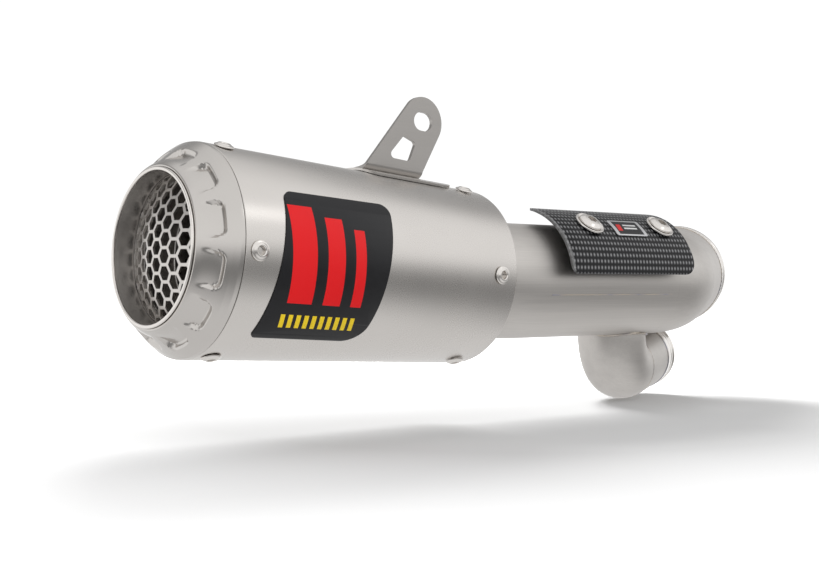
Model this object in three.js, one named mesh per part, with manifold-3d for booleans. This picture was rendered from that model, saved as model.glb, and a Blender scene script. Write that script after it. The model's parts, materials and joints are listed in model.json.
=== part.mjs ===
// Racing slip-on exhaust: a short round silencer, its two-inlet link pipe and a carbon heat shield.
// Millimetres, +Z up. +X runs along the link pipe from the outlet towards the engine,
// and the origin is the centre of the main inlet's mouth, where the part slips on the header.
import * as THREE from 'three';
import { mergeVertices } from 'three/addons/utils/BufferGeometryUtils.js';
import Module from 'manifold-3d';

const wasm = await Module();
wasm.setup();

// ---------- driving dimensions ----------
const GAP = 0.3;                    // clearance left between neighbouring solids
const ROUND = 36;                   // flat sides on the large turned parts
const SMALL_ROUND = 10;             // flat sides on the fasteners

// Silencer, measured along its own axis from the rim of the outlet cap (s = 0) towards the inlet.
const RIM_R = 50.7;                 // largest radius, at the rim of the outlet cap
const SLEEVE_START = 1.5;
const SLEEVE_END = 170.5;
const SLEEVE_FRONT_R = 50.6;        // outer radius at the outlet end
const SLEEVE_REAR_R = 47.0;         // outer radius at the inlet end
const SLEEVE_WALL = 1.0;
const LIP_S = -17.2;                // mouth of the outlet throat
const THROAT_R = 36.5;
const THROAT_WALL = 1.2;
const THROAT_END = 26;
const MESH_RIM_S = -6;
const MESH_SPHERE_R = 82;           // the outlet mesh is a shallow dome
const MESH_WALL = 1.2;
const MESH_PITCH = 12.6;
const MESH_HOLE_R = 5.2;
const MESH_SKIRT = 4;               // straight edge of the dome, inside the throat
const CORE_R = 30;                  // perforated core, outside
const CORE_START = 12;
const CORE_END = 134;
const CORE_HOLE_R = 3.2;
const SOCKET_START = 138;
const NECK_END = 181;
const SOCKET_R = 32.6;              // bore of the socket for the slip joint

// Rivets: five at each end, and the hanger between them.
const RIVETS_PER_END = 5;
const RIVET_PHASE = 18.5;           // degrees from the top towards the near side (-Y)
const OUTLET_RIVET_S = 8.8;
const INLET_RIVET_S = 159.5;
const RIVET_HOLE_R = 2.7;

// Link pipe, measured from the knee where the silencer's axis meets the pipe's axis.
const KNEE_S = 205;                 // the knee's place on the silencer's axis
const KNEE_ANGLE = THREE.MathUtils.degToRad(3.76);
const KNEE_BEND_R = 200;
const PIPE_R = 32.5;
const PIPE_WALL = 1.2;
const SLIP_R = 30.9;                // swaged end that enters the socket
const PIPE_STRAIGHT = 118.9;        // knee to the start of the inlet bend
const INLET_BEND = THREE.MathUtils.degToRad(31);
const INLET_BEND_R = 70;
const INLET_BEND_TILT = THREE.MathUtils.degToRad(7.1);
const INLET_STRAIGHT = 50.5;
const COLLAR_LENGTH = 16;           // end rings, butt-welded to the two inlets
const COLLAR_STEP = 0.5;            // how far a ring stands out from its pipe

// Lower branch: down from the pipe, then forward beside the main inlet.
const BRANCH_X = 107.5;
const BRANCH_Y = 12;
const BRANCH_R = 20.9;
const BRANCH_DROP = 53.5;           // pipe axis down to the branch's level axis
const BRANCH_BEND_R = 22.5;
const BRANCH_YAW = THREE.MathUtils.degToRad(25.2);
const BRANCH_PITCH = THREE.MathUtils.degToRad(5);
const BRANCH_STRAIGHT = 38.9;

// Heat shield, a curved sheet held off the pipe by two bosses.
const SHIELD_R = 41.7;
const SHIELD_WALL = 1.4;
const SHIELD_X = [15, 122.5];
const SHIELD_ANGLE = 40;            // middle of the sheet, degrees from the top
const SHIELD_HALF_ANGLE = 44;
const SHIELD_CORNER = 11;
const SHIELD_FAR_CORNER = 19;       // the corner over the pipe's top at the silencer end
const SCREW_X = [43.5, 105.6];
const SCREW_HOLE_R = 3.4;
const BOSS_R = 7;
const BOSS_TOP = 38;

// ---------- finishes ----------
const finishes = {
  satin_titanium: [0xb4aca6, 0.42, 1.0],
  pipe_titanium: [0xaaa09a, 0.34, 1.0],
  polished_steel: [0xd8d6d2, 0.18, 1.0],
  mesh_steel: [0xa8a4a0, 0.4, 1.0],
  carbon: [0x1b1b1d, 0.28, 0.0],
  decal_film: [0x242426, 0.3, 0.0],
  badge_plate: [0x3a3a3c, 0.35, 0.6],
  glass_mat: [0xd9cfb4, 0.95, 0.0],
  steel_wool: [0x8d8a86, 0.7, 0.8],
  graphite: [0x3b3b3d, 0.6, 0.2],
};

// ---------- solids ----------
const X = new THREE.Vector3(1, 0, 0);
const rad = THREE.MathUtils.degToRad;

// Merged, outward-facing copy of a closed geometry, with only its positions left.
function closed(geometry) {
  const bare = geometry.index ? geometry.clone() : geometry;
  bare.deleteAttribute('normal');
  bare.deleteAttribute('uv');
  const merged = mergeVertices(bare, 1e-4);
  const p = merged.attributes.position;
  const triangles = [];
  let volume = 0;
  const [a, b, c] = [new THREE.Vector3(), new THREE.Vector3(), new THREE.Vector3()];
  for (let i = 0; i < merged.index.count; i += 3) {
    const [i0, i1, i2] = [0, 1, 2].map((k) => merged.index.getX(i + k));
    if (i0 === i1 || i1 === i2 || i2 === i0) continue;
    triangles.push([i0, i1, i2]);
    a.fromBufferAttribute(p, i0);
    b.fromBufferAttribute(p, i1);
    c.fromBufferAttribute(p, i2);
    volume += a.dot(b.cross(c));
  }
  if (volume < 0) triangles.forEach((t) => t.reverse());
  merged.setIndex(triangles.flat());
  return merged;
}

function toSolid(geometry) {
  const merged = closed(geometry);
  return new wasm.Manifold(new wasm.Mesh({
    numProp: 3,
    vertProperties: Float32Array.from(merged.attributes.position.array),
    triVerts: Uint32Array.from(merged.index.array),
  }));
}

function toGeometry(solid) {
  const mesh = solid.getMesh();
  const geometry = new THREE.BufferGeometry();
  geometry.setAttribute('position', new THREE.BufferAttribute(Float32Array.from(mesh.vertProperties), 3));
  geometry.setIndex(Array.from(mesh.triVerts));
  return geometry;
}

function cut(geometry, cutters) {
  const tool = cutters.map(toSolid).reduce((all, one) => all.add(one));
  return toGeometry(toSolid(geometry).subtract(tool));
}

function keep(geometry, region) {
  return toGeometry(toSolid(geometry).intersect(toSolid(region)));
}

function join(geometries) {
  return toGeometry(geometries.map(toSolid).reduce((all, one) => all.add(one)));
}

// Turned part about the X axis, from a closed outline of [x, radius] points.
function turned(outline, sides = ROUND) {
  const points = outline.map(([x, r]) => new THREE.Vector2(r, x));
  const onAxis = outline[0][1] === 0 && outline[outline.length - 1][1] === 0;
  if (!onAxis) points.push(points[0].clone());
  return new THREE.LatheGeometry(points, sides).rotateZ(-Math.PI / 2);
}

// Straight or tapered ring: start and end along X, with outer and inner radius at each.
function ring(x0, x1, outer0, inner0, outer1 = outer0, inner1 = inner0, sides = ROUND) {
  return turned([[x0, inner0], [x0, outer0], [x1, outer1], [x1, inner1]], sides);
}

// Bar along a direction, from one distance to another out of a point.
function bar(point, direction, from, to, radius, sides = SMALL_ROUND) {
  const geometry = new THREE.CylinderGeometry(radius, radius, to - from, sides);
  geometry.translate(0, (from + to) / 2, 0);
  const turn = new THREE.Quaternion().setFromUnitVectors(new THREE.Vector3(0, 1, 0), direction);
  return geometry.applyQuaternion(turn).translate(point.x, point.y, point.z);
}

// Direction out of the X axis at an angle from the top (+Z) towards the near side (-Y).
function outward(degrees) {
  return new THREE.Vector3(0, -Math.sin(rad(degrees)), Math.cos(rad(degrees)));
}

// Wedge about the X axis between two angles, used to keep part of a ring.
function wedge(x0, x1, degrees0, degrees1, reach) {
  const shape = new THREE.Shape();
  const steps = Math.ceil((degrees1 - degrees0) / 6);
  shape.moveTo(0, 0);
  for (let i = 0; i <= steps; i++) {
    const v = outward(degrees0 + ((degrees1 - degrees0) * i) / steps).multiplyScalar(reach);
    shape.lineTo(v.y, v.z);
  }
  const geometry = new THREE.ExtrudeGeometry(shape, { depth: x1 - x0, bevelEnabled: false });
  const axes = new THREE.Matrix4().makeBasis(new THREE.Vector3(0, 1, 0), new THREE.Vector3(0, 0, 1), X);
  return geometry.applyMatrix4(axes).translate(x0, 0, 0);
}

// Rounded rectangle in X and Y, pushed up along Z. The corner at low X and high Y may differ.
function roundedBlock(x0, x1, y0, y1, corner, z0, z1, farCorner = corner) {
  const shape = new THREE.Shape();
  shape.moveTo(x0 + corner, y0);
  shape.lineTo(x1 - corner, y0);
  shape.absarc(x1 - corner, y0 + corner, corner, -Math.PI / 2, 0);
  shape.lineTo(x1, y1 - corner);
  shape.absarc(x1 - corner, y1 - corner, corner, 0, Math.PI / 2);
  shape.lineTo(x0 + farCorner, y1);
  shape.absarc(x0 + farCorner, y1 - farCorner, farCorner, Math.PI / 2, Math.PI);
  shape.lineTo(x0, y0 + corner);
  shape.absarc(x0 + corner, y0 + corner, corner, Math.PI, 1.5 * Math.PI);
  const options = { depth: z1 - z0, bevelEnabled: false, curveSegments: 3 };
  return new THREE.ExtrudeGeometry(shape, options).translate(0, 0, z0);
}

// A pipe's route: straights and bends, one station at each change and a few in each bend.
class Route extends THREE.Curve {
  constructor(start, direction) {
    super();
    this.stations = [{ at: start.clone(), along: direction.clone().normalize() }];
  }

  get last() {
    return this.stations[this.stations.length - 1];
  }

  straight(length) {
    const { at, along } = this.last;
    this.stations.push({ at: at.clone().addScaledVector(along, length), along: along.clone() });
    return this;
  }

  // Bend through an angle, with the centre of the bend on the given side.
  bend(angle, radius, side, steps) {
    const { at, along } = this.last;
    const axis = new THREE.Vector3().crossVectors(along, side).normalize();
    const toCentre = new THREE.Vector3().crossVectors(axis, along).multiplyScalar(radius);
    const centre = at.clone().add(toCentre);
    for (let i = 1; i <= steps; i++) {
      const turn = (angle * i) / steps;
      this.stations.push({
        at: centre.clone().sub(toCentre.clone().applyAxisAngle(axis, turn)),
        along: along.clone().applyAxisAngle(axis, turn),
      });
    }
    return this;
  }

  get steps() {
    return this.stations.length - 1;
  }

  getPoint(t, target = new THREE.Vector3()) {
    const i = Math.min(Math.floor(t * this.steps + 1e-9), this.steps - 1);
    const [from, to] = [this.stations[i].at, this.stations[i + 1].at];
    return target.lerpVectors(from, to, t * this.steps - i);
  }

  getTangent(t, target = new THREE.Vector3()) {
    return target.copy(this.stations[Math.round(t * this.steps)].along);
  }

  getPointAt(u, target) {
    return this.getPoint(u, target);
  }

  getTangentAt(u, target) {
    return this.getTangent(u, target);
  }
}

// Tube along a route, as one closed wall.
function tube(route, outer, inner, sides) {
  const shape = new THREE.Shape().absarc(0, 0, outer, 0, 2 * Math.PI);
  if (inner) shape.holes.push(new THREE.Path().absarc(0, 0, inner, 0, 2 * Math.PI));
  return new THREE.ExtrudeGeometry(shape, {
    extrudePath: route, steps: route.steps, curveSegments: sides / 2, bevelEnabled: false,
  });
}

function named(name, finish, geometry) {
  const [color, roughness, metalness] = finishes[finish];
  const material = new THREE.MeshStandardMaterial({ color, roughness, metalness });
  const mesh = new THREE.Mesh(closed(geometry), material);
  mesh.name = name;
  return mesh;
}

// ---------- silencer ----------
const sleeveRadius = (s) => {
  const share = (s - SLEEVE_START) / (SLEEVE_END - SLEEVE_START);
  return SLEEVE_FRONT_R + (SLEEVE_REAR_R - SLEEVE_FRONT_R) * share;
};
const rivetAngles = Array.from({ length: RIVETS_PER_END }, (_, i) => RIVET_PHASE + (i * 360) / RIVETS_PER_END);

function rivetHoles(s) {
  const centre = new THREE.Vector3(s, 0, 0);
  return rivetAngles.map((angle) => bar(centre, outward(angle), 38, 56, RIVET_HOLE_R, 10));
}

function outerSleeve() {
  const shell = ring(SLEEVE_START, SLEEVE_END, SLEEVE_FRONT_R, SLEEVE_FRONT_R - SLEEVE_WALL,
    SLEEVE_REAR_R, SLEEVE_REAR_R - SLEEVE_WALL);
  return cut(shell, [...rivetHoles(OUTLET_RIVET_S), ...rivetHoles(INLET_RIVET_S)]);
}

// Pressed cone between the throat and the sleeve, with a ring of pockets and a skirt for the rivets.
const CONE_SLOPE = rad(40.4);
const POCKETS = 12;
const POCKET_PHASE = 0.45;          // share of a pitch from the top to the first pocket
const POCKET_SIZE = [15, 13.2, 6];
const POCKET_LEAN = rad(4);         // makes a pocket deepest at the rim
function outletCap() {
  const skirtR = SLEEVE_FRONT_R - SLEEVE_WALL - GAP;
  const bore = THROAT_R + GAP;
  const cone = turned([
    [-16, bore], [-16, 37.5], [-12.6, 39.2], [-2.6, 47.7], [-0.4, 50], [0.7, RIM_R],
    [SLEEVE_START - GAP, RIM_R], [SLEEVE_START - GAP, skirtR], [16, skirtR - 0.3], [16, skirtR - 1.5], [0.6, skirtR - 2.2], [-11, bore],
  ]);
  const pockets = Array.from({ length: POCKETS }, (_, i) => {
    const pocket = new THREE.BoxGeometry(...POCKET_SIZE).translate(0, 0, POCKET_SIZE[2] / 2);
    pocket.rotateY(POCKET_LEAN).translate(0, 0, -1.5);
    pocket.rotateY(-CONE_SLOPE).translate(-7.2, 0, 43.8);
    return pocket.rotateX(rad(((i + POCKET_PHASE) * 360) / POCKETS));
  });
  return cut(cone, [...pockets, ...rivetHoles(OUTLET_RIVET_S)]);
}

function outletThroat() {
  const inner = THROAT_R - THROAT_WALL;
  return turned([
    [LIP_S + 0.8, inner], [LIP_S + 0.2, inner + 0.2], [LIP_S, inner + 0.7], [LIP_S + 0.5, THROAT_R],
    [THROAT_END, THROAT_R], [THROAT_END, inner],
  ]);
}

// Shallow dome of perforated sheet, bulging towards the outlet.
const MESH_R = THROAT_R - THROAT_WALL - GAP;
const meshCentreX = MESH_RIM_S + Math.sqrt(MESH_SPHERE_R ** 2 - MESH_R ** 2);
function outletMesh() {
  const sphere = (r, offset) => [meshCentreX - Math.sqrt((MESH_SPHERE_R - offset) ** 2 - r * r), r];
  const radii = [0, 13, 25, MESH_R - 0.8];
  const dome = turned([
    ...radii.map((r) => sphere(r, 0)), [MESH_RIM_S, MESH_R], [MESH_RIM_S + MESH_SKIRT, MESH_R],
    [MESH_RIM_S + MESH_SKIRT, MESH_R - MESH_WALL],
    ...radii.slice(0, 3).reverse().map((r) => sphere(r, MESH_WALL)),
  ], 24);
  const holes = [];
  for (let column = -2; column <= 2; column++) {
    for (let row = -3; row <= 3; row++) {
      const y = column * MESH_PITCH * Math.cos(Math.PI / 6);
      const z = (row + (column % 2 ? 0.5 : 0)) * MESH_PITCH;
      if (Math.hypot(y, z) > MESH_R - MESH_HOLE_R - 2.5) continue;
      const hole = new THREE.CylinderGeometry(MESH_HOLE_R, MESH_HOLE_R, 30, 6).rotateY(Math.PI / 2);
      holes.push(hole.rotateZ(-Math.PI / 2).translate(MESH_RIM_S, y, z));
    }
  }
  return cut(dome, holes);
}

function meshRing() {
  return ring(MESH_RIM_S + MESH_SKIRT + GAP, MESH_RIM_S + 2 * MESH_SKIRT, MESH_R, MESH_R - 2.2);
}

// Perforated tube that carries the gas, with its holes through both walls.
function perforatedCore() {
  const holes = [];
  for (let row = 0; row < 4; row++) {
    for (let turn = 0; turn < 3; turn++) {
      const point = new THREE.Vector3(CORE_START + 22 + row * 26, 0, 0);
      holes.push(bar(point, outward(turn * 60 + (row % 2) * 30 + 4), -40, 40, CORE_HOLE_R, 6));
    }
  }
  return cut(ring(CORE_START, CORE_END, CORE_R, CORE_R - 1, undefined, undefined, 24), holes);
}

function coreOutletRing() {
  const seat = THROAT_R - THROAT_WALL - GAP;
  return turned([
    [15, CORE_R + GAP], [15, CORE_R + 1.5], [19, seat], [23, seat], [23, seat - 1.2], [19, CORE_R + GAP],
  ]);
}

function coreInletRing() {
  return ring(128, SOCKET_START - GAP, SOCKET_R + 1.2, CORE_R + GAP);
}

function steelWoolWrap() {
  return ring(THROAT_END + 1, 127, CORE_R + 3.6, CORE_R + GAP + 0.1, undefined, undefined, 36);
}

function packingMat() {
  const inside = SOCKET_R + 1.8;
  const outside = (s) => sleeveRadius(s) - SLEEVE_WALL - GAP - 0.2;
  return ring(THROAT_END + 1, 152, outside(THROAT_END + 1), inside, outside(152), inside, 36);
}

// Pressed cap at the inlet end: skirt inside the sleeve, then a flare down to a neck round the pipe.
function inletCap() {
  const skirt = (s) => sleeveRadius(s) - SLEEVE_WALL - GAP;
  const flare = [[172, 42], [174.6, 38], [178, 35.6], [NECK_END, 35.1]];
  const inside = [[NECK_END, 34.2], [176, 34.2], [172.4, 37.6], [169.4, 42.4]];
  const shell = turned([
    [154, skirt(154)], [169.6, skirt(169.6)], [170.6, skirt(169.6) - 0.5], ...flare, ...inside,
    [166.5, skirt(166.5) - 1.3], [154, skirt(154) - 1.2],
  ]);
  return cut(shell, rivetHoles(INLET_RIVET_S));
}

// Tube inside the cap that the link pipe slips into.
function inletSocket() {
  return ring(SOCKET_START, NECK_END - 1, SOCKET_R + 1.2, SOCKET_R);
}

// Blind rivet: a domed flange with the open mandrel hole, and its shank through both sheets.
function rivet() {
  const outline = [
    [-0.4, 0], [-0.4, 1.7], [1.6, 2.2], [1.2, 3.9], [0, 4.9], [0, 2.35], [-3.4, 2.35], [-3.4, 0],
  ];
  return turned(outline, SMALL_ROUND).rotateY(-Math.PI / 2);
}

function rivets(prefix, s) {
  return rivetAngles.map((angle, i) => {
    const mesh = named(`${prefix}_${i + 1}`, 'polished_steel', rivet());
    const out = outward(angle);
    mesh.position.copy(out).multiplyScalar(sleeveRadius(s) + GAP).add(new THREE.Vector3(s, 0, 0));
    mesh.quaternion.setFromUnitVectors(new THREE.Vector3(0, 0, 1), out);
    return mesh;
  });
}

// Doubler welded on top of the sleeve under the hanger.
const SADDLE_TOP = 1.5;
const SADDLE_S = [94, 152];
const SADDLE_HALF_WIDTH = 17;
const SADDLE_CORNER = 7;
function hangerSaddle() {
  const [s0, s1] = SADDLE_S;
  const skin = ring(s0 - 2, s1 + 2, sleeveRadius(s0 - 2) + SADDLE_TOP, sleeveRadius(s0 - 2) + GAP,
    sleeveRadius(s1 + 2) + SADDLE_TOP, sleeveRadius(s1 + 2) + GAP, 72);
  return keep(skin, roundedBlock(s0, s1, -SADDLE_HALF_WIDTH, SADDLE_HALF_WIDTH, SADDLE_CORNER, 30, 60));
}

// Bent plate: an upright lug with the bolt slot and a window, and a foot on the saddle.
const HOLE_S = 140.6;
const HOLE_H = 80.9;
const LUG_END_R = 13.2;
const LUG_Y = [-1, 1];
const FOOT_WALL = 2;
const FOOT_S = [101, 140];
const LUG_BOTTOM = 50.9;
const SLOT_R = 4.9;
const SLOT_OFFSET = 1.4;            // half the distance between the slot's two centres
const WINDOW = [[127.9, 71.4], [136.3, 68.9], [132.6, 58.5], [117.4, 58.7]];
const hangerSeat = (s) => sleeveRadius(s) + SADDLE_TOP + GAP;
function hangerBracket() {
  const lug = new THREE.Shape();
  lug.moveTo(FOOT_S[0], LUG_BOTTOM);
  lug.lineTo(141.2, LUG_BOTTOM);
  lug.lineTo(142.4, 54.5);
  lug.lineTo(HOLE_S + 12, HOLE_H - 5.6);
  lug.absarc(HOLE_S, HOLE_H, LUG_END_R, rad(-25), rad(138));
  const hole = new THREE.Path();
  hole.absarc(HOLE_S - SLOT_OFFSET, HOLE_H, SLOT_R, rad(90), rad(270));
  hole.absarc(HOLE_S + SLOT_OFFSET, HOLE_H, SLOT_R, rad(-90), rad(90));
  const window = new THREE.Path(WINDOW.map(([s, h]) => new THREE.Vector2(s, h)));
  lug.holes.push(hole, window);
  const thickness = LUG_Y[1] - LUG_Y[0];
  const plate = new THREE.ExtrudeGeometry(lug, { depth: thickness, bevelEnabled: false, curveSegments: 10 });
  plate.rotateX(Math.PI / 2).translate(0, LUG_Y[1], 0);
  const [s0, s1] = FOOT_S;
  const skin = ring(s0 - 1, s1 + 1, hangerSeat(s0 - 1) + FOOT_WALL, hangerSeat(s0 - 1),
    hangerSeat(s1 + 1) + FOOT_WALL, hangerSeat(s1 + 1), 72);
  return join([plate, keep(skin, roundedBlock(s0, s1, LUG_Y[0] + 0.2, 15, 3, 30, 60))]);
}

// Film stuck on the near side. Its ends lean, so it is a band of the cone, sheared along the axis.
const DECAL = { s: [21.5, 84], degrees: [54.5, 141], lean: 0.12 };
function sleeveDecal() {
  const [s0, s1] = DECAL.s;
  const skin = ring(s0, s1, sleeveRadius(s0) + 0.6, sleeveRadius(s0) + GAP, sleeveRadius(s1) + 0.6,
    sleeveRadius(s1) + GAP, 72);
  const band = keep(skin, wedge(s0 - 1, s1 + 1, ...DECAL.degrees, 80));
  return band.applyMatrix4(new THREE.Matrix4().makeShear(0, 0, 0, 0, DECAL.lean, 0));
}

// ---------- link pipe ----------
const silencerAxis = new THREE.Vector3(Math.cos(KNEE_ANGLE), 0, -Math.sin(KNEE_ANGLE));
const kneeTangent = KNEE_BEND_R * Math.tan(KNEE_ANGLE / 2);
const PIPE_START_S = 184.2;
const UP = new THREE.Vector3(0, 0, 1);
const inletSide = new THREE.Vector3(0, Math.cos(INLET_BEND_TILT), Math.sin(INLET_BEND_TILT));

const pipeStart = silencerAxis.clone().multiplyScalar(PIPE_START_S - KNEE_S);
const kneeRoute = () => new Route(pipeStart, silencerAxis)
  .straight(KNEE_S - PIPE_START_S - kneeTangent)
  .bend(KNEE_ANGLE, KNEE_BEND_R, UP, 2);
const mainRoute = kneeRoute()
  .straight(PIPE_STRAIGHT - kneeTangent)
  .bend(INLET_BEND, INLET_BEND_R, inletSide, 7)
  .straight(INLET_STRAIGHT);
const mouthOf = ({ at, along }) => ({ at: at.clone().addScaledVector(along, GAP + COLLAR_LENGTH), along });
const mainMouth = mouthOf(mainRoute.last);
const branchAhead = new THREE.Vector3(
  Math.cos(BRANCH_YAW) * Math.cos(BRANCH_PITCH),
  Math.sin(BRANCH_YAW) * Math.cos(BRANCH_PITCH),
  Math.sin(BRANCH_PITCH),
);
const branchTop = new THREE.Vector3(BRANCH_X, BRANCH_Y, -5);
const branchRoute = new Route(branchTop, new THREE.Vector3(0, 0, -1))
  .straight(BRANCH_DROP - BRANCH_BEND_R + branchTop.z)
  .bend(Math.PI / 2 + BRANCH_PITCH, BRANCH_BEND_R, branchAhead, 7)
  .straight(BRANCH_STRAIGHT);
const branchMouth = mouthOf(branchRoute.last);

// Swaged ferrule on the pipe's end: it enters the silencer's socket and its shoulder stops at the neck.
function slipFerrule() {
  return turned([
    [140, SLIP_R - PIPE_WALL], [140, SLIP_R - 0.4], [141, SLIP_R], [NECK_END + 0.4, SLIP_R],
    [NECK_END + 0.6, PIPE_R], [PIPE_START_S - GAP, PIPE_R], [PIPE_START_S - GAP, PIPE_R - PIPE_WALL],
    [NECK_END + 1.5, PIPE_R - PIPE_WALL], [NECK_END + 0.3, SLIP_R - PIPE_WALL],
  ]);
}

function sealBush() {
  return ring(SOCKET_START + 5, NECK_END - 3, SOCKET_R - GAP, SLIP_R + GAP);
}

// The pipe is three lengths welded end to end: the straight, the inlet bend and the inlet stub.
const straightRoute = kneeRoute().straight(PIPE_STRAIGHT - kneeTangent - GAP);
const bendRoute = new Route(new THREE.Vector3(PIPE_STRAIGHT, 0, 0), X)
  .bend(INLET_BEND, INLET_BEND_R, inletSide, 7);
const { at: bendEnd, along: stubAxis } = bendRoute.last;
const stubRoute = new Route(bendEnd.clone().addScaledVector(stubAxis, GAP), stubAxis)
  .straight(INLET_STRAIGHT - GAP);

function pipeLength(route) {
  const wall = tube(route, PIPE_R, PIPE_R - PIPE_WALL, ROUND);
  const port = bar(new THREE.Vector3(BRANCH_X, BRANCH_Y, 0), UP, -45, -7, BRANCH_R - PIPE_WALL, 24);
  return cut(wall, [port]);
}

// Ring butt-welded to a pipe's end: the pipe's own bore, a slightly larger outside and a rolled lip.
function collar(pipeRadius) {
  const inner = pipeRadius - PIPE_WALL;
  const outer = pipeRadius + COLLAR_STEP;
  return turned([
    [-COLLAR_LENGTH, inner], [-COLLAR_LENGTH, pipeRadius], [-COLLAR_LENGTH + 0.8, outer - 0.2],
    [-2.6, outer - 0.2], [-2, outer + 0.3], [0, outer + 0.3], [0, inner],
  ]);
}

function placeAlong(mesh, { at, along }) {
  mesh.position.copy(at);
  mesh.quaternion.setFromUnitVectors(X, along);
  return mesh;
}

function branchElbow() {
  const wall = tube(branchRoute, BRANCH_R, BRANCH_R - PIPE_WALL, 24);
  return cut(wall, [tube(mainRoute, PIPE_R + GAP + 0.1, 0, ROUND)]);
}

// ---------- heat shield ----------
const shieldOut = outward(SHIELD_ANGLE);
function heatShield() {
  const [x0, x1] = SHIELD_X;
  const sheet = keep(
    ring(x0, x1, SHIELD_R, SHIELD_R - SHIELD_WALL, undefined, undefined, 96),
    wedge(x0 - 1, x1 + 1, SHIELD_ANGLE - SHIELD_HALF_ANGLE, SHIELD_ANGLE + SHIELD_HALF_ANGLE, 60),
  );
  const half = SHIELD_R * Math.sin(rad(SHIELD_HALF_ANGLE)) + 0.5;
  const outline = roundedBlock(x0, x1, -half, half, SHIELD_CORNER, 5, 60, SHIELD_FAR_CORNER);
  outline.rotateX(rad(SHIELD_ANGLE));
  const holes = SCREW_X.map((x) => bar(new THREE.Vector3(x, 0, 0), shieldOut, 30, 50, SCREW_HOLE_R));
  return cut(keep(sheet, outline), holes);
}

function shieldBoss(x) {
  const point = new THREE.Vector3(x, 0, 0);
  const body = bar(point, shieldOut, PIPE_R - 3, BOSS_TOP, BOSS_R, 20);
  const pipe = bar(new THREE.Vector3(), X, x - 20, x + 20, PIPE_R + GAP, ROUND);
  return cut(body, [pipe, bar(point, shieldOut, 34.5, 45, 3.3)]);
}

function shieldSpacer(x) {
  const point = new THREE.Vector3(x, 0, 0);
  const body = bar(point, shieldOut, BOSS_TOP + GAP, SHIELD_R - SHIELD_WALL - GAP - 0.3, 6, 20);
  return cut(body, [bar(point, shieldOut, 34, 45, SCREW_HOLE_R)]);
}

// Cup washer and button-head screw, both turned about the X axis and stood up afterwards.
function shieldWasher() {
  return turned([[0, SCREW_HOLE_R], [0, 8.2], [0.6, 9], [1.5, 8.6], [1, 7.4], [1, SCREW_HOLE_R]], 18);
}

function shieldScrew() {
  const head = [
    [0.6, 0], [0.6, 1.8], [2.3, 1.9], [2.1, 4.6], [0.7, 6.9], [0, 6.9], [0, 3], [-7, 3], [-7, 0],
  ];
  return turned(head, 14);
}

function standOut(mesh, x, distance) {
  mesh.position.copy(shieldOut).multiplyScalar(distance).add(new THREE.Vector3(x, 0, 0));
  mesh.quaternion.setFromUnitVectors(X, shieldOut);
  return mesh;
}

function shieldBadge() {
  const skin = ring(61, 88, SHIELD_R + 0.8, SHIELD_R + GAP, undefined, undefined, 96);
  return keep(skin, wedge(60, 89, 34, 52, 60));
}

// ---------- the assembly ----------
const silencer = new THREE.Group();
silencer.rotation.y = KNEE_ANGLE;
silencer.position.copy(silencerAxis).multiplyScalar(-KNEE_S);
silencer.add(
  named('outer_sleeve', 'satin_titanium', outerSleeve()),
  named('outlet_cap', 'satin_titanium', outletCap()),
  named('outlet_throat', 'satin_titanium', outletThroat()),
  named('outlet_mesh', 'mesh_steel', outletMesh()),
  named('mesh_ring', 'mesh_steel', meshRing()),
  named('perforated_core', 'mesh_steel', perforatedCore()),
  named('core_outlet_ring', 'satin_titanium', coreOutletRing()),
  named('core_inlet_ring', 'satin_titanium', coreInletRing()),
  named('steel_wool_wrap', 'steel_wool', steelWoolWrap()),
  named('packing_mat', 'glass_mat', packingMat()),
  named('inlet_cap', 'satin_titanium', inletCap()),
  named('inlet_socket', 'satin_titanium', inletSocket()),
  ...rivets('outlet_rivet', OUTLET_RIVET_S),
  ...rivets('inlet_rivet', INLET_RIVET_S),
  named('hanger_saddle', 'satin_titanium', hangerSaddle()),
  named('hanger_bracket', 'pipe_titanium', hangerBracket()),
  named('sleeve_decal', 'decal_film', sleeveDecal()),
  named('seal_bush', 'graphite', sealBush()),
  named('slip_ferrule', 'pipe_titanium', slipFerrule()),
);

const linkAssembly = new THREE.Group();
linkAssembly.add(
  named('link_pipe', 'pipe_titanium', pipeLength(straightRoute)),
  named('inlet_bend', 'pipe_titanium', pipeLength(bendRoute)),
  named('inlet_stub', 'pipe_titanium', pipeLength(stubRoute)),
  placeAlong(named('main_inlet_collar', 'polished_steel', collar(PIPE_R)), mainMouth),
  named('branch_elbow', 'pipe_titanium', branchElbow()),
  placeAlong(named('branch_inlet_collar', 'polished_steel', collar(BRANCH_R)), branchMouth),
  named('heat_shield', 'carbon', heatShield()),
  named('shield_badge', 'badge_plate', shieldBadge()),
);
SCREW_X.forEach((x, i) => {
  const end = ['outlet_side', 'inlet_side'][i];
  linkAssembly.add(
    named(`shield_boss_${end}`, 'pipe_titanium', shieldBoss(x)),
    named(`shield_spacer_${end}`, 'polished_steel', shieldSpacer(x)),
    standOut(named(`shield_washer_${end}`, 'polished_steel', shieldWasher()), x, SHIELD_R + GAP),
    standOut(named(`shield_screw_${end}`, 'polished_steel', shieldScrew()), x, SHIELD_R + 2 * GAP + 1),
  );
});

// Everything above is placed from the knee; the origin is moved to the main inlet's mouth.
const assembly = new THREE.Group();
assembly.position.copy(mainMouth.at).negate();
assembly.add(silencer, linkAssembly);

const exhaust = new THREE.Group();
exhaust.name = 'racing_exhaust_system';
exhaust.add(assembly);
exhaust.updateMatrixWorld(true);

export default exhaust;
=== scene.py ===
# %% [markdown]
# # A racing slip-on exhaust in a small studio
# The object is a short round silencer on a two-inlet link pipe. Almost all of it is titanium sheet and
# tube: spun, pressed, rolled and welded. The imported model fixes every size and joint. This script only
# dresses it: each visible node gets a smooth, detailed piece in the same place, and each finish is
# mixed from procedural nodes. Lengths are in millimetres inside a piece and in metres in the scene.

# %% Load the fixed frame
import json
import math

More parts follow.
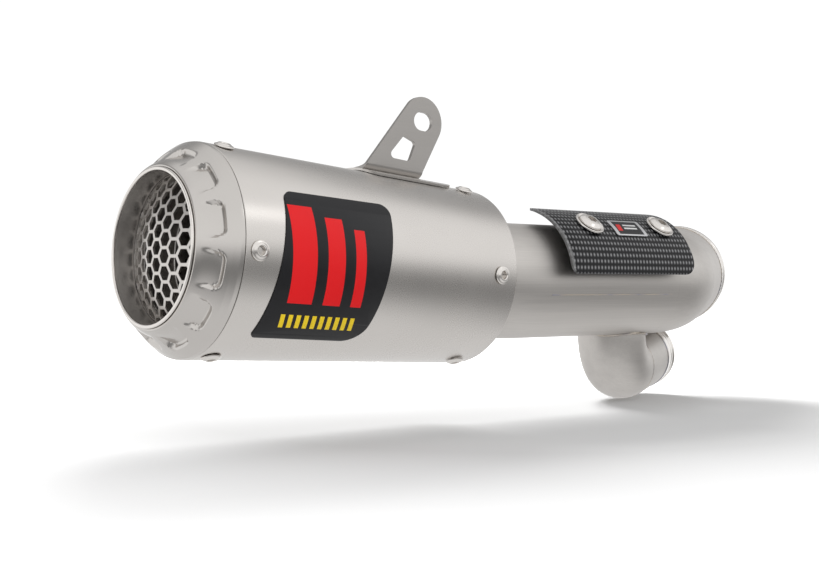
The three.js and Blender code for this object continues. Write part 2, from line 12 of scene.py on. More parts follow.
import bmesh
import bpy
from mathutils import Matrix, Vector, noise


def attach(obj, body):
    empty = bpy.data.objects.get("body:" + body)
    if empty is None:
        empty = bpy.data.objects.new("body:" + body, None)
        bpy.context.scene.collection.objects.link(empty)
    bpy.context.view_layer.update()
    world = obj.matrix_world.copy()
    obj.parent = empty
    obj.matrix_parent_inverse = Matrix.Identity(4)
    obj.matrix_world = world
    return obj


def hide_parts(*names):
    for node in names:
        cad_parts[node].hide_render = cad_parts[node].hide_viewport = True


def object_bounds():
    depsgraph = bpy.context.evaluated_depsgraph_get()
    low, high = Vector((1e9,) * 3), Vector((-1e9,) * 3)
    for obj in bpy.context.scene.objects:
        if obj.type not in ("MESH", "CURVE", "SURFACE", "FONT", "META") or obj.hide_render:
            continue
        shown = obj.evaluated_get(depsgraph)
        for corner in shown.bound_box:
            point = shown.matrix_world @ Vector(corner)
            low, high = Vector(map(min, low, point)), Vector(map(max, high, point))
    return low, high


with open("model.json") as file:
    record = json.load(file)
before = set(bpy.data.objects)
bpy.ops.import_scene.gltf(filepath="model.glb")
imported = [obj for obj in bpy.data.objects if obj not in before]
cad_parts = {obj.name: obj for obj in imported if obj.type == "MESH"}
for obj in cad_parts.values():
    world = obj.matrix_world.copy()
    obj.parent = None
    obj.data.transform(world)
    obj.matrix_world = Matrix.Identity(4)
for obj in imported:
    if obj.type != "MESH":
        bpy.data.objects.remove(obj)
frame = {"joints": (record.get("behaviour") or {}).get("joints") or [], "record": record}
cad_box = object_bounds()

# %% [markdown]
# ## Where things are
# Two lines carry the whole object: the silencer's axis, which is the axis of its turning joint, and the
# straight link pipe, which runs along X from the knee where the two lines cross. The two inlets have
# axes of their own, which the record gives as mounts. A local frame turns a piece's own millimetres,
# with X along its axis and Z up, into the object's metres, so every piece is drawn the easy way round.

# %% Local frames
MM = 0.001
UP = Vector((0, 0, 1))
PIVOT_FROM_RIM = 160 * MM
KNEE_FROM_RIM = 205 * MM


def local_frame(origin, along):
    x = Vector(along).normalized()
    y = UP.cross(x).normalized()
    turn = Matrix((x, y, x.cross(y))).transposed().to_4x4()
    return Matrix.Translation(origin) @ turn @ Matrix.Scale(MM, 4)


turn_joint = next(joint for joint in frame["joints"] if joint["name"] == "silencer_turn")
mounts = {mount["name"]: mount for mount in frame["record"]["mounts"]}
silencer_axis = Vector(turn_joint["axis"]).normalized()
rim_centre = Vector(turn_joint["pos_m"]) - PIVOT_FROM_RIM * silencer_axis
knee = rim_centre + KNEE_FROM_RIM * silencer_axis

SILENCER = local_frame(rim_centre, silencer_axis)
PIPE = local_frame(knee, (1, 0, 0))
MAIN_INLET = local_frame(mounts["main_inlet"]["pos_m"], mounts["main_inlet"]["axis"])
BRANCH_INLET = local_frame(mounts["branch_inlet"]["pos_m"], mounts["branch_inlet"]["axis"])
print("rim", [round(c, 4) for c in rim_centre], "knee", [round(c, 4) for c in knee])

# %% [markdown]
# ## Writing finishes as sums
# A node tree is easier to read as arithmetic. A Signal wraps one output socket, and + - * / on it add
# Math nodes. A Paint is one material, and its node method makes any node from its type, its settings
# and the values or links of its sockets.

# %% Signals and paints


class Signal:
    def __init__(self, nodes, socket):
        self.nodes = nodes
        self.socket = socket

    def math(self, operation, *values):
        inputs = dict(enumerate((self, *values)))
        return self.nodes.node("ShaderNodeMath", {"operation": operation}, inputs)

    def flipped(self, operation, value):
        return self.nodes.node("ShaderNodeMath", {"operation": operation}, {0: value, 1: self})

    def __add__(self, other):
        return self.math("ADD", other)

    def __sub__(self, other):
        return self.math("SUBTRACT", other)

    def __rsub__(self, other):
        return self.flipped("SUBTRACT", other)

    def __mul__(self, other):
        return self.math("MULTIPLY", other)

    def __truediv__(self, other):
        return self.math("DIVIDE", other)

    def __gt__(self, other):
        return self.math("GREATER_THAN", other)

    def __lt__(self, other):
        return self.math("LESS_THAN", other)

    __radd__ = __add__
    __rmul__ = __mul__


class Nodes:
    def __init__(self, tree):
        self.tree = tree
        tree.nodes.clear()

    def node(self, kind, settings=None, inputs=None, output=0):
        made = self.tree.nodes.new(kind)
        for name, value in (settings or {}).items():
            if name == "stops":
                self.set_stops(made.color_ramp, value)
            else:
                setattr(made, name, value)
        for name, value in (inputs or {}).items():
            self.feed(made.inputs[name], value)
        return Signal(self, made.outputs[output]) if made.outputs else None

    def feed(self, socket, value):
        if isinstance(value, Signal):
            self.tree.links.new(value.socket, socket)
        else:
            socket.default_value = value

    def set_stops(self, ramp, stops):
        while len(ramp.elements) < len(stops):
            ramp.elements.new(1.0)
        for element, (position, colour) in zip(ramp.elements, stops):
            element.position = position
            element.color = (*colour, 1)

    def coordinate(self, which="Object"):
        return self.node("ShaderNodeTexCoord", output=which)

    def stretched(self, vector, scale):
        return self.node("ShaderNodeMapping", None, {"Vector": vector, "Scale": scale})

    def noise(self, vector, scale, detail=3.0, roughness=0.55):
        inputs = {"Vector": vector, "Scale": scale, "Detail": detail, "Roughness": roughness}
        return self.node("ShaderNodeTexNoise", None, inputs)

    def mix(self, factor, a, b):
        return self.node("ShaderNodeMix", {"data_type": "RGBA"}, {0: factor, 6: a, 7: b}, output=2)

    def parts(self, vector):
        split = self.node("ShaderNodeSeparateXYZ", None, {0: vector}).socket.node
        return [Signal(self, socket) for socket in split.outputs]


class Paint(Nodes):
    def __init__(self, name, **constants):
        self.material = bpy.data.materials.new(name)
        self.material.use_nodes = True
        super().__init__(self.material.node_tree)
        shader = self.node("ShaderNodeBsdfPrincipled")
        self.shader = shader.socket.node
        self.node("ShaderNodeOutputMaterial", None, {0: shader})
        for key, value in constants.items():
            self.shader.inputs[key.replace("_", " ")].default_value = value

    def set(self, socket, value):
        self.feed(self.shader.inputs[socket], value)

    def bump(self, height, depth_mm):
        inputs = {"Height": height, "Distance": depth_mm * MM, "Strength": 1.0}
        self.set("Normal", self.node("ShaderNodeBump", None, inputs))


WARMTH = 0.045


def grey_warm(level):
    """Titanium's colour: a grey that leans a little to brown."""
    return (level * (1 + WARMTH), level, level * (1 - WARMTH), 1)


def grey(level):
    return (level,) * 3


# %% [markdown]
# ## Titanium
# The sleeve and the caps are bead-blasted, which leaves a fine even grain and a satin gloss. The tubes are
# drawn and then brushed, which leaves long streaks along them. Both are one metallic shader whose colour,
# roughness and bump follow noise: round cells for blasting, cells stretched along X for brushing.

# %% Metal finishes
STREAK_DEPTH = 0.006
ALONG_THE_TUBE = (14, 1500, 1500)


def blasted(name, level, rough, grain=0.004):
    paint = Paint(name, Metallic=1.0)
    place = paint.coordinate()
    cloud = paint.noise(place, 22, 4)
    grit = paint.noise(place, 3200, 2)
    paint.set("Base Color", paint.mix(cloud, grey_warm(level * 0.93), grey_warm(level * 1.06)))
    paint.set("Roughness", rough - 0.05 + cloud * 0.07 + grit * 0.04)
    paint.bump(grit, grain)
    return paint.material


def brushed(name, level, rough, along=ALONG_THE_TUBE, spread=0.22):
    paint = Paint(name, Metallic=1.0)
    place = paint.coordinate()
    streak = paint.noise(paint.stretched(place, along), 1.0, 4, 0.65)
    wide = paint.noise(paint.stretched(place, [a * 0.12 for a in along]), 1.0, 3)
    cloud = paint.noise(place, 30, 3)
    tone = streak * 0.55 + wide * 0.45
    dark, light = grey_warm(level * (1 - spread)), grey_warm(level * (1 + spread))
    paint.set("Base Color", paint.mix(tone, dark, light))
    paint.set("Roughness", rough - 0.09 + streak * 0.12 + cloud * 0.08)
    paint.bump(streak, STREAK_DEPTH)
    return paint.material


satin_titanium = blasted("satin_titanium", 0.62, 0.27)
cap_titanium = blasted("cap_titanium", 0.55, 0.19)
throat_titanium = brushed("throat_titanium", 0.46, 0.44, along=(700, 60, 60), spread=0.10)
bracket_titanium = brushed("bracket_titanium", 0.40, 0.36, along=(60, 60, 900), spread=0.12)
pipe_titanium = brushed("pipe_titanium", 0.57, 0.47)
mesh_steel = blasted("mesh_steel", 0.62, 0.34)
polished_steel = blasted("polished_steel", 0.74, 0.16, 0.001)
rivet_steel = blasted("rivet_steel", 0.70, 0.22, 0.001)
print("metals", len(bpy.data.materials))

# %% [markdown]
# ## Weld colours
# A titanium weld cools through straw, purple and blue as its oxide grows, and it keeps the small ripples of
# the pool. Patches of noise choose between the colours, and the ripples are real shape on the bead itself.

# %% Weld finish


def welded():
    paint = Paint("titanium_weld", Metallic=1.0)
    place = paint.coordinate()
    patch = paint.noise(place, 60, 2)
    stops = [(0.30, (0.36, 0.36, 0.42)), (0.45, (0.50, 0.46, 0.43)), (0.60, (0.56, 0.50, 0.42)),
             (0.75, (0.58, 0.55, 0.52))]
    tint = paint.node("ShaderNodeValToRGB", {"stops": stops}, {0: patch})
    paint.set("Base Color", tint)
    paint.set("Roughness", 0.24 + patch * 0.2)
    return paint.material


weld_titanium = welded()

# %% [markdown]
# ## From an outline to a turned piece
# Sleeves, caps, rings, rivets and screws are all round. The quick way is to draw one half-section and
# spin it. Each corner of the outline may carry a fillet, which becomes a short arc, because no edge
# on pressed or spun metal is perfectly sharp, and the arc is what catches the light.

# %% Outlines
LATHE_STEPS = 144


def filleted(points, steps=4, closed=True):
    """Outline of (x, y) corners. A third number rounds that corner with an arc of this radius."""
    outline = []
    for i, point in enumerate(points):
        corner = Vector(point[:2])
        radius = point[2] if len(point) > 2 else 0
        at_end = not closed and i in (0, len(points) - 1)
        if not radius or at_end:
            outline.append(corner)
            continue
        back = Vector(points[i - 1][:2]) - corner
        ahead = Vector(points[(i + 1) % len(points)][:2]) - corner
        half = back.angle(ahead) / 2
        reach = min(radius / math.tan(half), 0.48 * back.length, 0.48 * ahead.length)
        radius = reach * math.tan(half)
        bisector = (back.normalized() + ahead.normalized()).normalized()
        centre = corner + bisector * radius / math.sin(half)
        start = corner + back.normalized() * reach - centre
        sweep = start.angle_signed(corner + ahead.normalized() * reach - centre)
        for k in range(steps + 1):
            outline.append(centre + Matrix.Rotation(-sweep * k / steps, 2) @ start)
    return outline


def refined(outline, step):
    """The same closed outline with no side longer than the step."""
    fine = []
    for i, point in enumerate(outline):
        ahead = outline[(i + 1) % len(outline)]
        count = max(1, math.ceil((ahead - point).length / step))
        fine.extend(point.lerp(ahead, k / count) for k in range(count))
    return fine


def turned(outline, steps=LATHE_STEPS, closed=True):
    """Solid of revolution about X, from (distance along X, radius) points."""
    bm = bmesh.new()
    verts = [bm.verts.new((x, 0, r)) for x, r in outline]
    edges = [bm.edges.new(pair) for pair in zip(verts, verts[1:])]
    if closed:
        edges.append(bm.edges.new((verts[-1], verts[0])))
    bmesh.ops.spin(bm, geom=verts + edges, cent=(0, 0, 0), axis=(1, 0, 0), angle=2 * math.pi,
                   steps=steps, use_merge=True)
    bmesh.ops.remove_doubles(bm, verts=bm.verts, dist=1e-4)
    bmesh.ops.recalc_face_normals(bm, faces=bm.faces)
    return bm


# %% [markdown]
# ## Finishing a piece
# Every piece ends the same way: its millimetres are placed in the object, its edges are marked smooth or
# sharp by their angle, and it rides on a body and stands for the nodes that it replaces.

# %% The piece helper
SHARP_DEGREES = 33


def piece(name, bm, finish, body, place, replaces=(), weighted=False):
    bmesh.ops.transform(bm, matrix=place, verts=bm.verts)
    for face in bm.faces:
        face.smooth = True
    for edge in bm.edges:
        edge.smooth = edge.calc_face_angle(0) < math.radians(SHARP_DEGREES)
    mesh = bpy.data.meshes.new(name)
    bm.to_mesh(mesh)
    bm.free()
    mesh.materials.append(finish)
    made = bpy.data.objects.new(name, mesh)
    bpy.context.scene.collection.objects.link(made)
    if weighted:
        made.modifiers.new("flat faces lead", "WEIGHTED_NORMAL").keep_sharp = True
    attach(made, body)
    if replaces:
        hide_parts(*replaces)
    print(f"{name}: {len(mesh.polygons)} faces, {[round(d / MM, 1) for d in made.dimensions]} mm")
    return made


def round_piece(node, corners, finish, body="silencer", place=SILENCER, steps=LATHE_STEPS):
    piece(f"{node}_skin", turned(filleted(corners), steps), finish, body, place, (node,))


# %% [markdown]
# ## The sleeve
# The sleeve is one sheet rolled to a slight cone and seam-welded along its far side. A cylinder with an
# edge bevel would do, but the outline gives the taper and the soft sheet edges in one step. The seam is a
# low bead of its own, laid with the other welds.

# %% Sleeve
SLEEVE_START, SLEEVE_END = 1.5, 170.5
SLEEVE_FRONT_R, SLEEVE_REAR_R = 50.6, 47.0
FINE_STEPS = 192


def sleeve_radius(s):
    share = (s - SLEEVE_START) / (SLEEVE_END - SLEEVE_START)
    return SLEEVE_FRONT_R + (SLEEVE_REAR_R - SLEEVE_FRONT_R) * share


round_piece("outer_sleeve", [
    (SLEEVE_START, SLEEVE_FRONT_R - 1, 0.3), (SLEEVE_START, SLEEVE_FRONT_R, 0.45),
    (SLEEVE_END, SLEEVE_REAR_R, 0.7), (SLEEVE_END, SLEEVE_REAR_R - 1, 0.3),
], satin_titanium, steps=FINE_STEPS)

# %% [markdown]
# ## The outlet cap
# The cap is pressed from sheet: a cone between throat and sleeve with twelve U-shaped pockets. Each
# pocket is deepest by the rim, where it ends in a step, and it fades out towards the throat. Booleans
# would leave hard edges, so a finely spun cone is pressed instead: each vertex sinks along the cone's
# normal by a smooth function of its place.

# %% Outlet cap
POCKETS = 12
POCKET_PHASE = 0.45
POCKET_HALF_WIDTH = 8.6
POCKET_CORNER = 3.2
POCKET_STEP_R = 46.7
POCKET_FADE_R = 39.0
POCKET_DEPTH = 2.5
POCKET_WALL = 1.3
CONE_NORMAL = Vector((-0.633, 0.774))
CONE_INNER_R, CONE_OUTER_R = 38, 49
CAP_STEP = 0.55
CAP_TURNS = 360


def smooth(t):
    t = min(max(t, 0), 1)
    return t * t * (3 - 2 * t)


def pocket_depth(radius, angle):
    pitch = 2 * math.pi / POCKETS
    offset = (angle / pitch - POCKET_PHASE + 0.5) % 1 - 0.5
    across = abs(offset) * pitch * radius - (POCKET_HALF_WIDTH - POCKET_CORNER)
    outward = radius - (POCKET_STEP_R - POCKET_CORNER)
    outside = math.hypot(max(across, 0), max(outward, 0)) + min(max(across, outward), 0) - POCKET_CORNER
    fade = smooth((radius - POCKET_FADE_R) / (POCKET_STEP_R - POCKET_FADE_R - 1))
    return POCKET_DEPTH * fade * smooth(-outside / POCKET_WALL)


def outlet_cap():
    skirt = SLEEVE_FRONT_R - 1.3
    corners = [(-16, 36.8, 0.3), (-16, 38, 0.9), (-3.6, 48.2, 7), (-0.7, 50.3, 2), (1.2, 50.7, 0.3),
               (1.2, skirt), (16, skirt - 0.3, 0.3), (16, skirt - 1.4, 0.3), (1.6, 48, 2), (-13.8, 36.8)]
    bm = turned(refined(filleted(corners, 6), CAP_STEP), CAP_TURNS)
    for vert in bm.verts:
        radius = math.hypot(vert.co.y, vert.co.z)
        if vert.co.x < 1 and CONE_INNER_R < radius < CONE_OUTER_R:
            depth = pocket_depth(radius, math.atan2(-vert.co.y, vert.co.z))
            scale = 1 - CONE_NORMAL.y * depth / radius
            vert.co = (vert.co.x - CONE_NORMAL.x * depth, vert.co.y * scale, vert.co.z * scale)
    return bm


piece("outlet_cap_pressed", outlet_cap(), cap_titanium, "silencer", SILENCER, ("outlet_cap",))

# %% [markdown]
# ## The throat
# The throat is a plain tube whose mouth is rolled outwards into a polished bead. The bead is a few
# filleted corners in the outline. It gets its own bright finish by being a separate ring on the tube.

# %% Throat and bead
round_piece("outlet_throat", [
    (-16.4, 35.3, 0.3), (-16.4, 36.5, 0.3), (26, 36.5, 0.3), (26, 35.3, 0.3),
], throat_titanium, steps=FINE_STEPS)
LIP = [(-17.15, 35.15, 0.5), (-17.15, 36.9, 0.7), (-16.1, 36.9, 0.4), (-16.1, 35.15, 0.2)]
piece("outlet_lip_bead", turned(filleted(LIP, 5), FINE_STEPS), polished_steel, "silencer", SILENCER)

# %% [markdown]
# ## The outlet mesh
# A dome of sheet punched with hexagons keeps stones out of the silencer. The flat blank comes first:
# hexagonal faces side by side, trimmed to a disc, then each one inset by half a bar and its middle
# deleted. The net that is left is domed by moving it along the axis, and solidify gives it its wall.

# %% Outlet mesh
MESH_R = 35.0
MESH_PITCH = 7.7
MESH_BAR = 1.5
DOME_R = 82
DOME_RIM_S = -6
MESH_WALL = 1.1


def hexagon_blank():
    bm = bmesh.new()
    reach = math.ceil(MESH_R / MESH_PITCH) + 1
    corner_r = MESH_PITCH / math.sqrt(3)
    for column in range(-reach, reach + 1):
        for row in range(-reach, reach + 1):
            y = column * corner_r * 1.5
            z = (row + (column % 2) / 2) * MESH_PITCH
            if math.hypot(y, z) > MESH_R + corner_r * 0.7:
                continue
            spot = Matrix.Translation((0, y, z)) @ Matrix.Rotation(math.pi / 2, 4, "Y")
            bmesh.ops.create_circle(bm, cap_ends=True, segments=6, radius=corner_r, matrix=spot)
    bmesh.ops.remove_doubles(bm, verts=bm.verts, dist=0.05)
    for vert in bm.verts:
        radius = math.hypot(vert.co.y, vert.co.z)
        if radius > MESH_R:
            vert.co *= MESH_R / radius
    bmesh.ops.dissolve_degenerate(bm, edges=bm.edges, dist=0.2)
    bmesh.ops.recalc_face_normals(bm, faces=bm.faces)
    return bm


def outlet_mesh():
    bm = hexagon_blank()
    cells = [face for face in bm.faces if face.calc_area() > 0.35 * MESH_PITCH ** 2]
    bmesh.ops.inset_individual(bm, faces=cells, thickness=MESH_BAR / 2, use_even_offset=True)
    bmesh.ops.delete(bm, geom=cells, context="FACES")
    bmesh.ops.subdivide_edges(bm, edges=bm.edges, cuts=1, use_grid_fill=True)
    dome_centre = DOME_RIM_S + math.sqrt(DOME_R ** 2 - MESH_R ** 2)
    for vert in bm.verts:
        square = vert.co.y ** 2 + vert.co.z ** 2
        vert.co.x = dome_centre - math.sqrt(DOME_R ** 2 - square)
    bmesh.ops.recalc_face_normals(bm, faces=bm.faces)
    bmesh.ops.solidify(bm, geom=bm.faces[:], thickness=MESH_WALL)
    bmesh.ops.recalc_face_normals(bm, faces=bm.faces)
    return bm


piece("outlet_mesh_punched", outlet_mesh(), mesh_steel, "silencer", SILENCER, ("outlet_mesh",))

# %% [markdown]
# ## Inside the silencer
# Behind the mesh, gas runs through a perforated core wrapped in steel wool and glass mat. The rings, the
# socket and the inlet cap that hold them are plain solids of revolution, each from its own outline.

# %% Rings of the silencer
round_piece("mesh_ring", [(-1.7, 32.8, 0.3), (-1.7, 35, 0.3), (2, 35, 0.3), (2, 32.8, 0.3)], mesh_steel)

for node, corners in (
    ("core_outlet_ring",
     [(15, 30.3), (15, 31.5, 0.2), (19, 35, 1.5), (23, 35, 0.3), (23, 33.8), (19, 30.3, 1.5)]),
    ("core_inlet_ring", [(128, 30.3), (128, 33.8, 0.4), (137.7, 33.8, 0.4), (137.7, 30.3)]),
    ("inlet_socket", [(138, 32.6), (138, 33.8, 0.3), (180, 33.8, 0.3), (180, 32.6)]),
    ("inlet_cap", [
        (154, 44.6), (154, 45.9, 0.3), (169.6, 45.6, 2.5), (171.6, 43.4, 2), (174.2, 38.2, 4),
        (178.4, 35.7, 3), (181, 35.2, 0.4), (181, 34.2, 0.3), (177, 34.4, 3), (172.6, 37.6, 4),
        (168.6, 44.0, 2),
    ]),
):
    round_piece(node, corners, cap_titanium)

# %% [markdown]
# The core's perforation is hundreds of round holes. Each square of the spun tube is inset and its middle
# deleted, and one level of subdivision turns the square holes round. That is far lighter than a boolean.

# %% Perforated core
CORE_R = 30
CORE_START, CORE_END = 12, 134
CORE_PLAIN_END = 6
HOLE_PITCH = 5.2
HOLE_MARGIN = 0.24
CORE_WALL = 0.9


def perforated_core():
    rows = round((CORE_END - CORE_START) / HOLE_PITCH)
    around = round(2 * math.pi * CORE_R / HOLE_PITCH)
    wall = [Vector((CORE_START + (CORE_END - CORE_START) * k / rows, CORE_R)) for k in range(rows + 1)]
    bm = turned(wall, around, closed=False)
    first, last = CORE_START + CORE_PLAIN_END, CORE_END - CORE_PLAIN_END
    cells = [face for face in bm.faces if first < face.calc_center_median().x < last]
    bmesh.ops.inset_individual(bm, faces=cells, thickness=HOLE_PITCH * HOLE_MARGIN, use_even_offset=True)
    bmesh.ops.delete(bm, geom=cells, context="FACES")
    bmesh.ops.recalc_face_normals(bm, faces=bm.faces)
    bmesh.ops.solidify(bm, geom=bm.faces[:], thickness=CORE_WALL)
    bmesh.ops.recalc_face_normals(bm, faces=bm.faces)
    return bm


core = piece("perforated_core_skin", perforated_core(), mesh_steel, "silencer", SILENCER,
             ("perforated_core",))
rounding = core.modifiers.new("round holes", "SUBSURF")
rounding.levels = 1
rounding.render_levels = 1

# %% [markdown]
# Fibre has no sharp outline, only a lumpy one. A displacement texture could do it, but moving each vertex
# by noise keeps the lumps in the mesh itself. The steel wool is dark and glitters; the glass mat is creamy
# and dull.

# %% Packing
LUMP_SCALE = 0.14
FIBRE_STRETCH = (300, 1400, 1400)


def fibre(name, dark, light, rough, metallic):
    paint = Paint(name, Metallic=metallic)
    place = paint.coordinate()
    strands = paint.noise(paint.stretched(place, FIBRE_STRETCH), 1.0, 6, 0.7)
    tufts = paint.noise(place, 90, 4)
    paint.set("Base Color", paint.mix(strands * 0.6 + tufts * 0.4, dark, light))
    paint.set("Roughness", rough + strands * 0.2)
    paint.bump(strands, 0.25)
    return paint.material


glass_mat = fibre("glass_mat", (0.52, 0.45, 0.30, 1), (0.88, 0.83, 0.68, 1), 0.75, 0.0)
steel_wool = fibre("steel_wool", (0.16, 0.155, 0.15, 1), (0.62, 0.60, 0.58, 1), 0.4, 0.85)


def packing(node, start, end, inner, outer_start, outer_end, lump, finish):
    corners = (start, inner), (start, outer_start), (end, outer_end), (end, inner)
    bm = turned(refined([Vector(corner) for corner in corners], 3), 120)
    for vert in bm.verts:
        radius = math.hypot(vert.co.y, vert.co.z)
        push = 1 - lump * (0.5 + 0.5 * noise.noise(vert.co * LUMP_SCALE)) / radius
        if radius > inner + 1:
            vert.co.y *= push
            vert.co.z *= push
    piece(f"{node}_fibre", bm, finish, "silencer", SILENCER, (node,))


packing("packing_mat", 27, 152, 34.4, sleeve_radius(27) - 1.6, sleeve_radius(152) - 1.6, 1.6, glass_mat)
packing("steel_wool_wrap", 27, 127, 30.5, 33.5, 33.5, 0.8, steel_wool)

# %% [markdown]
# ## The slip joint
# The link pipe's swaged end slides into the silencer's socket on a graphite bush. Both stay round.

# %% Bush and ferrule
graphite = blasted("graphite", 0.05, 0.55, 0.01)
graphite.node_tree.nodes["Principled BSDF"].inputs["Metallic"].default_value = 0.2
round_piece("seal_bush", [(143, 31.2, 0.2), (143, 32.3, 0.4), (178, 32.3, 0.4), (178, 31.2, 0.2)], graphite,
            body="seal")
round_piece("slip_ferrule", [
    (140, 29.7, 0.3), (140, 30.9, 1), (181.1, 30.9, 0.3), (181.9, 32.5, 0.4), (183.9, 32.5), (183.9, 31.3),
    (182.5, 31.3, 1), (181.3, 29.7, 1),
], pipe_titanium, body="link_pipe")

# %% [markdown]
# ## Rivets
# Ten blind rivets hold the two caps. The outline of one rivet has the domed flange, the raised ring and
# the hollow with the snapped mandrel inside. One function spins it and stands it up at each place.

# %% Rivets
RIVET_PHASE = 18.5
RIVETS_PER_END = 5
RIVET_OUTLINE = [
    (-1.5, 0), (-1.5, 0.8, 0.3), (-2.8, 1.1, 0.1), (-2.8, 1.75, 0.2), (1.15, 1.95, 0.25), (1.7, 2.35, 0.4),
    (1.5, 3.0, 0.6), (0.95, 3.7, 0.8), (0.7, 4.5, 0.5), (0.05, 4.9, 0.25), (0.05, 2.35), (-3.4, 2.35, 0.3),
    (-3.4, 0),
]
RIVET_ROWS = (("outlet", 8.8), ("inlet", 159.5))


def outward(degrees):
    """Direction out of the X axis at an angle from the top towards the near side."""
    return Vector((0, -math.sin(math.radians(degrees)), math.cos(math.radians(degrees))))


def standing(x, degrees, distance):
    """Matrix that stands a piece turned about X on a round wall, at that distance from the axis."""
    out = outward(degrees)
    across = Vector((1, 0, 0)).cross(out)
    turn = Matrix((out, across, out.cross(across))).transposed().to_4x4()
    return Matrix.Translation(Vector((x, 0, 0)) + out * distance) @ turn


for end, s in RIVET_ROWS:
    for i in range(RIVETS_PER_END):
        angle = RIVET_PHASE + i * 360 / RIVETS_PER_END
        bm = turned(filleted(RIVET_OUTLINE, 3, closed=False), 32, closed=False)
        bmesh.ops.transform(bm, matrix=standing(s, angle, sleeve_radius(s) + 0.3), verts=bm.verts)
        node = f"{end}_rivet_{i + 1}"
        piece(f"{node}_skin", bm, rivet_steel, "silencer", SILENCER, (node,))

# %% [markdown]
# ## Sheet pieces
# The hanger, its doubler, the film, the shield and the badge are all flat sheet that is then bent, and they
# are made that way round too: the outline with its holes is filled, sliced into strips where it will bend,
# given its thickness and a small edge bevel, and only then bent by a function from flat to curved.

# %% Flat sheet, then bent


def arc(centre, radius, start, end, steps):
    """Points on an arc, in degrees, for an outline."""
    angles = [math.radians(start + (end - start) * k / steps) for k in range(steps + 1)]
    return [Vector((centre[0] + radius * math.cos(a), centre[1] + radius * math.sin(a))) for a in angles]


def flat_sheet(outlines, thickness, strips, edge, uv_box=None):
    """Flat plate in X and Y from one outline and its holes, sliced at the heights in strips."""
    bm = bmesh.new()
    for outline in outlines:
        verts = [bm.verts.new((x, y, 0)) for x, y in outline]
        for i, vert in enumerate(verts):
            bm.edges.new((verts[i - 1], vert))
    bmesh.ops.triangle_fill(bm, use_beauty=True, use_dissolve=False, edges=bm.edges, normal=UP)
    for height in strips:
        bmesh.ops.bisect_plane(bm, geom=bm.verts[:] + bm.edges[:] + bm.faces[:], dist=1e-4,
                               plane_co=(0, height, 0), plane_no=(0, 1, 0))
    raised = bmesh.ops.extrude_face_region(bm, geom=bm.faces[:])["geom"]
    top = [g for g in raised if isinstance(g, bmesh.types.BMVert)]
    bmesh.ops.translate(bm, vec=(0, 0, thickness), verts=top)
    bmesh.ops.recalc_face_normals(bm, faces=bm.faces)
    rim = [e for e in bm.edges if abs(e.calc_face_angle(0) - math.pi / 2) < 0.1
           and (e.verts[0].co.z > thickness / 2) == (e.verts[1].co.z > thickness / 2)]
    bmesh.ops.bevel(bm, geom=rim, offset=edge, offset_type="OFFSET", segments=2, profile=0.5,
                    affect="EDGES", clamp_overlap=True, material=-1)
    if uv_box:
        layer = bm.loops.layers.uv.new("sheet")
        (u0, v0), (u1, v1) = uv_box
        for face in bm.faces:
            for loop in face.loops:
                loop[layer].uv = ((loop.vert.co.x - u0) / (u1 - u0), (loop.vert.co.y - v0) / (v1 - v0))
    return bm


def rounded_rectangle(x0, x1, y0, y1, corners):
    """Outline with a radius for each corner: low X low Y, high X low Y, high X high Y, low X high Y."""
    a, b, c, d = corners
    return filleted([(x0, y0, a), (x1, y0, b), (x1, y1, c), (x0, y1, d)], 10)


def wrapped(bm, radius_at, centre_degrees, lean=0.0):
    """Bends a flat sheet round X. Y becomes arc length from the centre angle, and Z height off the wall."""
    for vert in bm.verts:
        s, arc_length, height = vert.co
        reference = radius_at(s)
        angle = math.radians(centre_degrees) + arc_length / reference
        reach = reference + height
        z = reach * math.cos(angle)
        vert.co = (s + lean * z, -reach * math.sin(angle), z)
    bmesh.ops.recalc_face_normals(bm, faces=bm.faces)
    return bm


def slices(low, high, step):
    count = math.ceil((high - low) / step)
    return [low + (high - low) * k / count for k in range(1, count)]


# %% [markdown]
# ### Hanger
# The lug carries the slotted bolt hole and a window that saves weight. At its foot the plate bends through
# a small radius and lies on a doubler, which spreads the load over the thin sleeve.

# %% Hanger bracket and doubler
BRACKET_WALL = 2.0
FOLD_R = 3.0
FOLD_HALF = FOLD_R * math.pi / 4
HOLE = (140.6, 29.4)
HOLE_END_R = 4.9
HOLE_HALF_SLOT = 1.4
LUG_TOP_R = 13.2
SADDLE_TOP = 1.5
SADDLE_HALF = 17
SHEET_GAP = 0.3


def folded(bm):
    """Folds the flat bracket: above the fold is the lug, below it the foot that follows the sleeve."""
    for vert in bm.verts:
        s, t, w = vert.co
        w -= BRACKET_WALL / 2
        seat = sleeve_radius(s) + SADDLE_TOP + SHEET_GAP + BRACKET_WALL / 2
        if t > FOLD_HALF:
            vert.co = (s, w, seat + FOLD_R + t - FOLD_HALF)
            continue
        turn = min(FOLD_HALF - t, 2 * FOLD_HALF) / FOLD_R
        y = FOLD_R - (FOLD_R - w) * math.cos(turn)
        z = seat + FOLD_R - (FOLD_R - w) * math.sin(turn)
        flat = max(-FOLD_HALF - t, 0)
        drop = seat - math.sqrt(seat ** 2 - (FOLD_R + flat) ** 2)
        vert.co = (s, y + flat, z - drop * smooth(turn / (math.pi / 2)))
    bmesh.ops.recalc_face_normals(bm, faces=bm.faces)
    return bm


